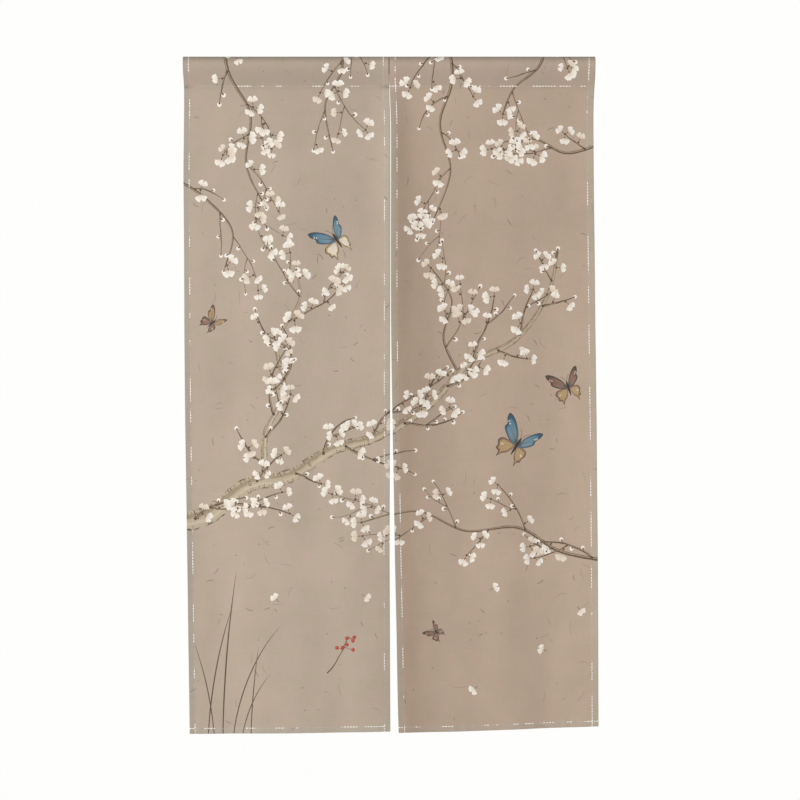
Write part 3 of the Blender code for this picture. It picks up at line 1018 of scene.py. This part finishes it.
def make_cloth(side):
    """One panel as a closed thin cloth, and the flat area of its cut."""
    across, down, triangles, top_shape, kept, offset = flat_mesh(side)
    middle, normals = lay_with_normals(side, across, down)
    sheet_area = area_of_all(across, down, triangles)
    used = np.unique(triangles)
    renumber = np.full(len(across), -1)
    renumber[used] = np.arange(len(used))
    count = len(used)
    front = renumber[triangles]
    corners = middle[used]
    outward = normals[used]
    ab = corners[front[:, 1]] - corners[front[:, 0]]
    ac = corners[front[:, 2]] - corners[front[:, 0]]
    facing = np.einsum("ij,ij->i", np.cross(ab, ac), outward[front].sum(axis=1))
    if facing.sum() < 0:
        front = front[:, ::-1]
        triangles = triangles[:, ::-1]
    places = np.concatenate([corners + outward * CLOTH / 2, corners - outward * CLOTH / 2])

    pairs = np.concatenate([front[:, (0, 1)], front[:, (1, 2)], front[:, (2, 0)]])
    seen = {(a, b) for a, b in pairs.tolist()}
    rim = np.array([(b, a, a + count, b + count) for a, b in seen if (b, a) not in seen])
    faces = front.tolist() + (front[:, ::-1] + count).tolist() + rim.tolist()
    mesh = bpy.data.meshes.new("cloth_" + side)
    mesh.from_pydata(places, [], faces)
    mesh.shade_smooth()

    flat_places = np.stack([across + offset, down], axis=1)
    ink_front = ink_at(kept, top_shape, flat_places[triangles])
    ink_back = ink_front[:, ::-1].copy()
    ink_back[..., 3] *= SHOW_THROUGH
    rim_count = len(rim) * 4
    colours = np.concatenate([ink_front.reshape(-1, 4), ink_back.reshape(-1, 4),
                              np.zeros((rim_count, 4))])
    ink = mesh.color_attributes.new("ink", "FLOAT_COLOR", "CORNER")
    ink.data.foreach_set("color", colours.ravel())
    loops = len(triangles) * 3
    printed = np.concatenate([np.ones(loops), np.zeros(loops), np.full(rim_count, 0.5)])
    mesh.attributes.new("printed", "FLOAT", "CORNER").data.foreach_set("value", printed)

    cut = np.stack([across[used], down[used]], axis=1)
    cut = np.concatenate([cut, cut])
    flat_of[side] = cut.T
    loop_corners = np.zeros(len(mesh.loops), dtype=int)
    mesh.loops.foreach_get("vertex_index", loop_corners)
    mesh.uv_layers.new(name="cut").data.foreach_set("uv", cut[loop_corners].ravel())
    page = (cut - (-HEM_FLAT, -BACK_RUN)) / (CUT_WIDTH[side], CUT_LENGTH)
    page = page[loop_corners] * PAGE_SIZE + PAGE_MARGIN
    page[loops:2 * loops, 0] += PAGE_BACK
    mesh.uv_layers.new(name="OFBake").data.foreach_set("uv", page.ravel())

    both = np.concatenate([outward, -outward])[loop_corners]
    both[2 * loops:] = 0.0
    mesh.normals_split_custom_set(both)
    piece = put("cloth_" + side, mesh)
    print(piece.name, len(mesh.polygons), "faces,", len(kept) - 1, "printed shapes, flat area",
          round(sheet_area, 3))
    return piece, sheet_area


cloth = {side: make_cloth(side) for side in WIDTH}

# %% [markdown]
# ## Topstitching
#
# A sewing machine leaves a row of short stitches, all alike but for how deep each one sinks
# into the cloth. That is a job for Geometry Nodes: a path is resampled at the stitch pitch,
# and a small rounded thread is placed at each point, turned along the path. Noise makes whole
# runs of thread sink or stand out, as they do on soft cloth.

# %% Paths of the stitch rows
SIDE_INSETS = {            # from the fold of each side hem to its row of stitches
    "left": (0.0120, 0.0118),
    "right": (0.0131, 0.0135),
}
HEM_INSET = 0.0115
FOOT_INSET = 0.0012        # the pocket's row lies this far above its foot
ROW_STEP = 0.006           # between places on a row
ROW_END = 0.002            # rows across the panel stop this far from its sides
# Stitches are drawn coarser than real ones, so that they show in the picture.
STITCH = {"Pitch": 0.0062, "Length": 0.0050, "Width": 0.0022, "Height": 0.0010}


def stitch_rows(side):
    """Flat places of each row: those on the front, and those on the hems' back layers."""
    flat = FLAT_WIDTH[side]
    behind = EASE
    top = SIDE_HEM_TOP - 0.010
    bottom = PANEL_RUN - 0.001
    low = PANEL_RUN - HEM_INSET
    under = PANEL_RUN + HEM_INSET + behind
    foot = POCKET_RUN - FOOT_INSET
    rows = [(ROW_END, flat - ROW_END, down, down) for down in (foot, -foot, low, under)]
    first, last = SIDE_INSETS[side]
    for inset, fold, way in ((first, 0.0, 1), (last, flat, -1)):
        front = fold + way * inset
        back = fold - way * (inset + behind)
        rows.append((front, front, top, bottom))
        rows.append((back, back, LIP_RUN + 0.003, PANEL_RUN - HEM_WIDTH))
    for from_across, to_across, from_down, to_down in rows:
        count = int(max(abs(to_across - from_across), abs(to_down - from_down)) / ROW_STEP) + 1
        yield np.linspace(from_across, to_across, count), np.linspace(from_down, to_down, count)


def path_mesh(name, side):
    """The rows as edges on the cloth's outer face, each point knowing which way is out."""
    places = []
    outward = []
    edges = []
    for across, down in stitch_rows(side):
        middle, normals = lay_with_normals(side, across, down)
        first = len(places)
        places += (middle + normals * CLOTH / 2).tolist()
        outward += normals.tolist()
        edges += [(first + k, first + k + 1) for k in range(len(across) - 1)]
    mesh = bpy.data.meshes.new(name)
    mesh.from_pydata(places, edges, [])
    facing = mesh.attributes.new("outward", "FLOAT_VECTOR", "POINT")
    facing.data.foreach_set("vector", np.array(outward).ravel())
    return mesh


# %% A helper for nodes
def add(tree, kind, settings=None, **inputs):
    """Add a node with settings. Each named or numbered input gets a value or a link.

    A node given as an input stands for its first output.
    """
    node = tree.nodes.new(kind)
    for name, value in (settings or {}).items():
        setattr(node, name, value)
    for name, value in inputs.items():
        key = int(name[1:]) if name[0] == "i" and name[1:].isdigit() else name.replace("_", " ")
        socket = node.inputs[key]
        if isinstance(value, bpy.types.Node):
            value = value.outputs[0]
        if isinstance(value, bpy.types.NodeSocket):
            tree.links.new(value, socket)
        else:
            socket.default_value = value
    return node


# %% The stitch tree
RUN_SHIFT = (1.54, 2.32, 2.61)    # moves the noise, so that some runs cross at the corners


def stitch_tree():
    """Rounded threads along a path, with runs that sink into the cloth."""
    tree = bpy.data.node_groups.new("topstitching", "GeometryNodeTree")
    face = tree.interface
    face.new_socket("Path", in_out="INPUT", socket_type="NodeSocketGeometry")
    for name in ("Pitch", "Length", "Width", "Height"):
        face.new_socket(name, in_out="INPUT", socket_type="NodeSocketFloat")
    face.new_socket("Thread", in_out="INPUT", socket_type="NodeSocketMaterial")
    face.new_socket("Geometry", in_out="OUTPUT", socket_type="NodeSocketGeometry")
    given = add(tree, "NodeGroupInput").outputs
    curve = add(tree, "GeometryNodeMeshToCurve", Mesh=given["Path"])
    even = add(tree, "GeometryNodeResampleCurve", {"mode": "LENGTH"}, Curve=curve,
               Length=given["Pitch"])
    outward = add(tree, "GeometryNodeInputNamedAttribute", {"data_type": "FLOAT_VECTOR"},
                  Name="outward")
    tangent = add(tree, "GeometryNodeInputTangent")
    turn = add(tree, "FunctionNodeAxesToRotation",
               {"primary_axis": "X", "secondary_axis": "Z"},
               Primary_Axis=tangent, Secondary_Axis=outward)
    ball = add(tree, "GeometryNodeMeshUVSphere", Segments=8, Rings=4, Radius=0.5)
    place = add(tree, "GeometryNodeInputPosition")
    round_place = add(tree, "ShaderNodeSeparateXYZ", Vector=place)
    longer = add(tree, "ShaderNodeMath", {"operation": "MULTIPLY"}, i0=round_place, i1=1.4)
    blunt = add(tree, "ShaderNodeClamp", Value=longer, Min=-0.5, Max=0.5)
    blunt_place = add(tree, "ShaderNodeCombineXYZ", X=blunt, Y=round_place.outputs[1],
                      Z=round_place.outputs[2])
    shaped = add(tree, "GeometryNodeSetPosition", Geometry=ball, Position=blunt_place)
    size = add(tree, "ShaderNodeCombineXYZ", X=given["Length"], Y=given["Width"],
               Z=given["Height"])
    thread = add(tree, "GeometryNodeTransform", Geometry=shaped, Scale=size)
    smooth = add(tree, "GeometryNodeSetShadeSmooth", Geometry=thread)
    shorter = add(tree, "ShaderNodeVectorMath", {"operation": "MULTIPLY_ADD"},
                  i0=place, i1=(1.8, 1.0, 1.0), i2=RUN_SHIFT)
    runs = add(tree, "ShaderNodeTexNoise", {"noise_dimensions": "3D"}, Vector=shorter,
               Scale=19.0, Detail=1.0, Roughness=0.4)
    sunk = add(tree, "ShaderNodeMapRange", Value=runs, From_Min=0.524, From_Max=0.546,
               To_Min=0.08, To_Max=1.0)
    each = add(tree, "FunctionNodeRandomValue", {"data_type": "FLOAT"}, i2=0.86, i3=1.10, Seed=7)
    wide = add(tree, "ShaderNodeMath", {"operation": "MULTIPLY"}, i0=sunk, i1=each.outputs[1])
    scale = add(tree, "ShaderNodeCombineXYZ", X=each.outputs[1], Y=wide, Z=wide)
    sewn = add(tree, "GeometryNodeInstanceOnPoints", Points=even,
               Instance=smooth, Rotation=turn, Scale=scale)
    real = add(tree, "GeometryNodeRealizeInstances", Geometry=sewn)
    dressed = add(tree, "GeometryNodeSetMaterial", Geometry=real, Material=given["Thread"])
    add(tree, "NodeGroupOutput", Geometry=dressed)
    return tree


def plain_mesh(piece):
    """A piece as it looks with its modifiers or its bevel, made a plain mesh."""
    bpy.context.view_layer.update()
    ready = piece.evaluated_get(bpy.context.evaluated_depsgraph_get())
    return bpy.data.meshes.new_from_object(ready)


def sew(side, tree, thread):
    """Run the tree on one panel's paths and keep the result as a plain mesh."""
    piece = put("stitches_" + side, path_mesh("rows_" + side, side))
    modifier = piece.modifiers.new("topstitching", "NODES")
    modifier.node_group = tree
    given = {**STITCH, "Thread": thread}
    for item in tree.interface.items_tree:
        if item.in_out == "INPUT" and item.name in given:
            modifier[item.identifier] = given[item.name]
    mesh = plain_mesh(piece)
    piece.modifiers.remove(modifier)
    piece.data = mesh
    mesh.name = piece.name
    print(piece.name, len(mesh.polygons), "faces")
    return piece


# %% [markdown]
# ## Materials
#
# The cloth is a plain weave of polyester yarn spun to look like linen: matt, with thick and
# thin places in the yarn, printed in a warm greige that isn't quite even. The weave follows
# the flat cut, so it turns round each fold. The sewing thread is a smoother polyester.
#
# Soft folds and the lamp shade this cloth, and that light and shade is painted into the ground's
# colour. Short tables say how much lighter or darker the ground is painted across a panel and down
# it, and each point of the mesh keeps its value in an attribute that the material reads.

# %% Painted light and shade of the ground, from place to place
# Painted shade of the heading: darkest at the pocket's round top, lighter just below it, and
# darker again on its front wall, which faces down.
HeadingPaintedShade = namedtuple("HeadingPaintedShade", "down light")
HEADING_PAINTED_SHADE = rows_of(HeadingPaintedShade, (0.000, 0.81), (0.011, 0.835), (0.023, 0.96),
                        (0.034, 0.93), (0.046, 0.885), (0.0715, 0.90), (0.0750, 0.98),
                        (0.1200, 1.00))
# Painted light and shade across each panel, where soft folds turn the cloth towards the light or
# away from it.
SidePaintedShading = namedtuple("SidePaintedShading", "from_slit top bottom")    # near the heading and the hem
SIDE_PAINTED_SHADING = {
    "left": rows_of(SidePaintedShading, (0.000, 1.125, 1.14), (0.012, 1.085, 1.105), (0.030, 1.04, 1.10),
                    (0.060, 0.995, 1.08), (0.120, 0.98, 1.06), (0.250, 0.985, 1.05),
                    (0.415, 1.005, 1.05), (0.419, 0.965, 0.95), (0.431, 0.96, 0.935)),
    "right": rows_of(SidePaintedShading, (0.000, 1.04, 1.04), (0.0070, 1.005, 1.02),
                     (0.0120, 0.975, 1.00), (0.016, 0.90, 0.995), (0.030, 0.91, 0.955),
                     (0.050, 0.985, 0.975), (0.080, 1.005, 0.98), (0.140, 1.02, 1.02),
                     (0.260, 0.985, 1.05), (0.350, 0.985, 1.06), (0.431, 1.05, 1.125)),
}
# Painted light and shade in strips down a panel, over soft folds.
PaintedShadingStrip = namedtuple("PaintedShadingStrip", "from_slit half_width light starts full eases gone")
PAINTED_SHADING_STRIPS = {                 # lighter or darker strips down a panel, between two heights
    "left": rows_of(PaintedShadingStrip, (0.000, 0.030, 0.065, 0.15, 0.40, 0.85, 1.10),
                    (0.340, 0.100, 0.045, 0.08, 0.16, 0.50, 0.62)),
    "right": rows_of(PaintedShadingStrip, (0.050, 0.050, -0.065, 0.15, 0.40, 0.85, 1.10),
                     (0.000, 0.008, 0.065, 0.08, 0.17, 0.85, 1.10),
                     (0.024, 0.014, 0.070, -0.20, -0.10, 0.068, 0.090)),
}
LOW_PART = (0.10, 1.10)    # between these heights the tones go from the top's to the bottom's
SLIT_TINT = (1.02, 0.955, 0.90)              # beside the slit, past the row of stitches
PANEL_TINTS = {"left": (0.998, 1.015, 1.010), "right": (1.015, 0.980, 0.945)}
HEADING_TINTS = {"left": (0.988, 1.008, 1.005), "right": (1.022, 1.006, 1.010)}
HEM_TINT = (0.965, 1.020, 1.055)
HEM_ENDS = (0.0150, 0.0120)                  # each pair: where a tint starts, and is full
HEADING_ENDS = (0.075, 0.060)
STRIP_STARTS = (0.0120, 0.0150)
STRIP_ENDS = (0.10, 0.02)
STRIP_TOP = (0.085, 0.180)
SEAM_FOOT = (0.048, 0.040)                   # the seam is closed above this height
# painted shade along the very edge of each fold
RIM_SHADE = 0.075          # how much darker the very edge of a fold is
RIM_REACH = 0.0038
# painted shadow in the groove where the two folded edges of the closed seam meet
SEAM_SHADE = 0.64          # how much darker the closed seam of the heading is
SEAM_REACH = 0.0011


def painted_shading_of(side, across, down):
    """How light the ground is painted: the light and shade of soft folds and of the lamp, painted
    in, times a slight tint.
    """
    from_slit = FLAT_WIDTH[side] - across if side == "left" else across
    # painted light and shade across the panel, going from the top's to the bottom's
    low = smooth_step(*LOW_PART, down)
    top = along(SIDE_PAINTED_SHADING[side], "top", from_slit)
    painted_shading = top + low * (along(SIDE_PAINTED_SHADING[side], "bottom", from_slit) - top)
    # painted strips of light and shade
    for painted_strip in PAINTED_SHADING_STRIPS[side]:
        halfway = smooth_step(painted_strip.starts, painted_strip.full, down)
        halfway = halfway * smooth_step(painted_strip.gone, painted_strip.eases, down)
        ridge = np.exp(-((from_slit - painted_strip.from_slit) / painted_strip.half_width) ** 2)
        painted_shading = painted_shading * (1 + painted_strip.light * halfway * ridge)
    # painted shade of the heading
    painted_shading = painted_shading * along(HEADING_PAINTED_SHADE, "light", np.abs(down))
    # painted shadow along the closed seam of the heading
    closed = smooth_step(*SEAM_FOOT, np.abs(down)) * np.exp(-(from_slit / SEAM_REACH) ** 2)
    painted_shading = painted_shading * (1 - SEAM_SHADE * closed)
    tint = np.array(PANEL_TINTS[side]) * np.ones((len(across), 3))
    if side == "right":
        beside = smooth_step(*STRIP_STARTS, from_slit) * smooth_step(*STRIP_ENDS, from_slit)
        beside = beside * smooth_step(*STRIP_TOP, down)
        tint = tint + (np.array(SLIT_TINT) - tint) * beside[:, None]
    from_fold = np.minimum(np.minimum(across, FLAT_WIDTH[side] - across), PANEL_RUN - down)
    # painted shade along the very edge of each fold
    painted_shading = painted_shading * (1 - RIM_SHADE * smooth_step(RIM_REACH, 0.0, from_fold))
    in_hem = smooth_step(*HEM_ENDS, from_fold)[:, None]
    tint = tint * (1 + (np.array(HEM_TINT) - 1) * in_hem)
    in_heading = smooth_step(*HEADING_ENDS, np.abs(down))[:, None]
    tint = tint + (np.array(HEADING_TINTS[side]) - tint) * in_heading
    return painted_shading[:, None] * tint


# %% Printed linen-look cloth
YARN = 0.0007              # from one yarn to the next; a coarser weave would show as stripes


def opaque(hex_code):
    return (*linear(hex_code), 1.0)


def empty_tree(owner):
    """The node tree of a material or world, with nothing in it yet."""
    owner.use_nodes = True
    owner.node_tree.nodes.clear()
    return owner.node_tree


def cloth_material():
    """Matt woven cloth: a soft, uneven surface, with no gloss but a faint bloom of fibres."""
    material = bpy.data.materials.new("printed linen-look polyester")
    tree = empty_tree(material)
    cut = add(tree, "ShaderNodeUVMap", {"uv_map": "cut"}).outputs[0]
    ink = add(tree, "ShaderNodeAttribute", {"attribute_name": "ink"}).outputs
    printed = add(tree, "ShaderNodeAttribute", {"attribute_name": "printed"}).outputs["Fac"]
    # the ground's painted light and shade, with its tint, kept at each point
    painted_shading = add(tree, "ShaderNodeAttribute", {"attribute_name": "painted_shading"}).outputs["Vector"]

    patches = add(tree, "ShaderNodeTexNoise", {"noise_dimensions": "2D"}, Vector=cut, Scale=26.0,
                  Detail=4.0, Roughness=0.62)
    warm = add(tree, "ShaderNodeMix", {"data_type": "RGBA"}, Factor=patches,
               i6=opaque("#bda598"), i7=opaque("#b0a48e"))
    clouds = add(tree, "ShaderNodeTexNoise", {"noise_dimensions": "2D"}, Vector=cut, Scale=7.0,
                 Detail=3.0)
    shade = add(tree, "ShaderNodeMapRange", Value=clouds, From_Min=0.3, From_Max=0.7,
                To_Min=0.965, To_Max=1.03)
    bare = add(tree, "ShaderNodeMix", {"data_type": "RGBA"}, Factor=printed,
               i6=opaque("#c3b6a6"), i7=warm.outputs[2])
    shaded = add(tree, "ShaderNodeVectorMath", {"operation": "SCALE"}, i0=bare.outputs[2],
                 Scale=shade)
    # the ground, lightened and darkened by its painted light and shade
    ground_with_painted_shading = add(tree, "ShaderNodeVectorMath", {"operation": "MULTIPLY"}, i0=shaded, i1=painted_shading)
    inked = add(tree, "ShaderNodeMix", {"data_type": "RGBA"}, Factor=ink["Alpha"],
                i6=ground_with_painted_shading, i7=ink["Color"])

    slubs = []
    for stretch in ((24.0, 900.0, 1.0), (900.0, 24.0, 1.0)):
        run = add(tree, "ShaderNodeMapping", Vector=cut, Scale=stretch)
        slub = add(tree, "ShaderNodeTexNoise", {"noise_dimensions": "2D"}, Vector=run,
                   Scale=1.0, Detail=2.0, Roughness=0.6)
        slubs.append(slub)
    both = add(tree, "ShaderNodeMath", {"operation": "ADD"}, i0=slubs[0], i1=slubs[1])
    grain = add(tree, "ShaderNodeMapRange", Value=both, From_Min=0.7, From_Max=1.3,
                To_Min=0.970, To_Max=1.030)
    colour = add(tree, "ShaderNodeVectorMath", {"operation": "SCALE"}, i0=inked.outputs[2],
                 Scale=grain)

    parts = add(tree, "ShaderNodeSeparateXYZ", Vector=cut)
    waves = []
    for axis in (0, 1):
        turn = add(tree, "ShaderNodeMath", {"operation": "MULTIPLY"}, i0=parts.outputs[axis],
                   i1=math.pi / YARN)
        waves.append(add(tree, "ShaderNodeMath", {"operation": "SINE"}, i0=turn))
    weave = add(tree, "ShaderNodeMath", {"operation": "MULTIPLY"}, i0=waves[0], i1=waves[1])
    relief = add(tree, "ShaderNodeMath", {"operation": "MULTIPLY_ADD"}, i0=both, i1=1.6, i2=weave)
    bump = add(tree, "ShaderNodeBump", Strength=0.45, Distance=0.00010, Height=relief)
    surface = add(tree, "ShaderNodeBsdfPrincipled", Base_Color=colour, Roughness=0.88,
                  IOR=1.5, Specular_IOR_Level=0.22, Sheen_Weight=0.12, Sheen_Roughness=0.6,
                  Normal=bump)
    add(tree, "ShaderNodeOutputMaterial", Surface=surface)
    return material


def thread_material():
    """Spun polyester thread: a soft sheen, and lighter and darker where it twists."""
    material = bpy.data.materials.new("cream polyester sewing thread")
    tree = empty_tree(material)
    place = add(tree, "ShaderNodeTexCoord").outputs["Object"]
    twist = add(tree, "ShaderNodeTexNoise", Vector=place, Scale=1400.0, Detail=1.0)
    colour = add(tree, "ShaderNodeMix", {"data_type": "RGBA"}, Factor=twist,
                 i6=opaque("#fbf7ee"), i7=opaque("#fffefb"))
    bump = add(tree, "ShaderNodeBump", Strength=0.3, Distance=0.0001, Height=twist)
    surface = add(tree, "ShaderNodeBsdfPrincipled", Base_Color=colour.outputs[2], Roughness=0.6,
                  IOR=1.55, Sheen_Weight=0.1, Normal=bump)
    add(tree, "ShaderNodeOutputMaterial", Surface=surface)
    return material


linen = cloth_material()
thread = thread_material()
for side, (piece, sheet_area) in cloth.items():
    piece.data.materials.append(linen)
    # each point keeps the ground's painted light and shade, with its tint
    painted_shading = piece.data.attributes.new("painted_shading", "FLOAT_VECTOR", "POINT")
    painted_shading.data.foreach_set("vector", painted_shading_of(side, *flat_of[side]).ravel())
tree = stitch_tree()
stitches = {side: sew(side, tree, thread) for side in cloth}

# %% [markdown]
# The two panels are joined only in the heading, by a close zigzag of thread across the seam.
# It is a bent line with a round section, made a mesh.

# %% Join the panels
ZIGZAG_PITCH = 0.0022
ZIGZAG_REACH = 0.0016      # from the seam to each point of the zigzag
ZIGZAG_TOP = 0.004         # the zigzag stops this far below the top edge
THREAD_RADIUS = 0.00028


def zigzag(name, from_down, to_down):
    """A zigzag thread from panel to panel, along the seam."""
    count = int(abs(to_down - from_down) / ZIGZAG_PITCH)
    downs = np.linspace(from_down, to_down, count)
    odd = np.arange(count) % 2
    left = lay_with_normals("left", np.full(count, FLAT_WIDTH["left"] - ZIGZAG_REACH), downs)
    right = lay_with_normals("right", np.full(count, ZIGZAG_REACH), downs)
    places = [a if k else b for k, a, b in zip(odd, left[0], right[0])]
    outward = [a if k else b for k, a, b in zip(odd, left[1], right[1])]
    curve = bpy.data.curves.new(name, "CURVE")
    curve.dimensions = "3D"
    curve.bevel_depth = THREAD_RADIUS
    curve.bevel_resolution = 1
    curve.use_fill_caps = True
    line = curve.splines.new("POLY")
    line.points.add(count - 1)
    for point, place, out in zip(line.points, places, outward):
        point.co = (*(place + out * (CLOTH / 2 + 0.0001)), 1.0)
    bent_line = put(name, curve)
    mesh = plain_mesh(bent_line)
    bpy.data.objects.remove(bent_line)
    mesh.materials.clear()
    mesh.materials.append(thread)
    print(name, count, "stitches")
    return put(name, mesh)


join = zigzag("join_behind", -LIP_RUN, -ZIGZAG_TOP)

# %% [markdown]
# ## Studio
#
# The picture has an even white ground and soft light, a little stronger from the left front,
# so that a fold that turns to the right is darker. The floor lies below the picture.

# %% Floor, light and camera
CAMERA_PLACE = (0.0226, -5.0, -0.7176)
FRAME_WIDTH = 1.672        # metres across the picture, at the curtain
FLOOR_LEVEL = -2.05        # a doorway's head is about this high above the floor
FLOOR_REACH = 2.6
FLOOR_FRONT = 2.8
KEY_AZIMUTH = math.radians(-50)
KEY_HEIGHT = math.radians(-3)
KEY_DISTANCE = 8.0
KEY_WATTS = 400.0
KEY_SIZE = 3.0
AMBIENT = 0.733            # strength of the soft light from below and around
AMBIENT_ABOVE = 0.55       # share of it that comes from straight above


def floor_material():
    """Matt painted board, with a faint unevenness of the roller."""
    material = bpy.data.materials.new("pale matt board")
    tree = empty_tree(material)
    place = add(tree, "ShaderNodeTexCoord").outputs["Object"]
    rolled = add(tree, "ShaderNodeTexNoise", Vector=place, Scale=3.0, Detail=4.0)
    colour = add(tree, "ShaderNodeMix", {"data_type": "RGBA"}, Factor=rolled,
                 i6=opaque("#f8f7f5"), i7=opaque("#fdfcfa"))
    surface = add(tree, "ShaderNodeBsdfPrincipled", Base_Color=colour.outputs[2], Roughness=0.7)
    add(tree, "ShaderNodeOutputMaterial", Surface=surface)
    return material


corners = [(x, y, FLOOR_LEVEL) for x, y in (
    (-FLOOR_REACH, -FLOOR_FRONT), (FLOOR_REACH, -FLOOR_FRONT),
    (FLOOR_REACH, FLOOR_REACH), (-FLOOR_REACH, FLOOR_REACH))]
floor_mesh = bpy.data.meshes.new("floor")
floor_mesh.from_pydata(corners, [], [(0, 1, 2, 3)])
floor_mesh.materials.append(floor_material())
floor = put("floor", floor_mesh)

world = bpy.data.worlds.new("studio")
bpy.context.scene.world = world
sky = empty_tree(world)
seen = add(sky, "ShaderNodeLightPath").outputs["Is Camera Ray"]
white = add(sky, "ShaderNodeBackground", Color=opaque("#fefefc"), Strength=1.0)
way = add(sky, "ShaderNodeTexCoord").outputs["Generated"]
height = add(sky, "ShaderNodeSeparateXYZ", Vector=way).outputs["Z"]
ceiling = add(sky, "ShaderNodeMapRange", Value=height, From_Min=-0.2, From_Max=0.8,
              To_Min=AMBIENT, To_Max=AMBIENT * AMBIENT_ABOVE)
soft = add(sky, "ShaderNodeBackground", Color=(1, 1, 1, 1), Strength=ceiling)
mixed = add(sky, "ShaderNodeMixShader", Fac=seen, i1=soft, i2=white)
add(sky, "ShaderNodeOutputWorld", Surface=mixed)

key_data = bpy.data.lights.new("key", "AREA")
key_data.energy = KEY_WATTS
key_data.size = KEY_SIZE
key = put("key", key_data)
aim = Vector((0.0, 0.0, -0.70))
away = Vector((math.sin(KEY_AZIMUTH) * math.cos(KEY_HEIGHT),
               -math.cos(KEY_AZIMUTH) * math.cos(KEY_HEIGHT), math.sin(KEY_HEIGHT)))
key.location = aim + away * KEY_DISTANCE
key.rotation_euler = away.to_track_quat("Z", "Y").to_euler()

camera_data = bpy.data.cameras.new("camera")
camera_data.sensor_width = 36.0
camera_data.lens = camera_data.sensor_width * -CAMERA_PLACE[1] / FRAME_WIDTH
camera = put("camera", camera_data)
camera.location = CAMERA_PLACE
camera.rotation_euler = (math.pi / 2, 0.0, 0.0)
bpy.context.scene.camera = camera
bpy.context.scene.view_settings.view_transform = "Standard"

# %% [markdown]
# ## Swap the solids for cloth
#
# Each cloth stands for the two solids of its panel, which are hidden, and its stitches go on the
# same body.

# %% Hide the solids and attach the pieces to their body
for side, (piece, sheet_area) in cloth.items():
    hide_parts("heading_" + side, "panel_" + side)
    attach(piece, "root")
    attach(stitches[side], "root")
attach(join, "root")
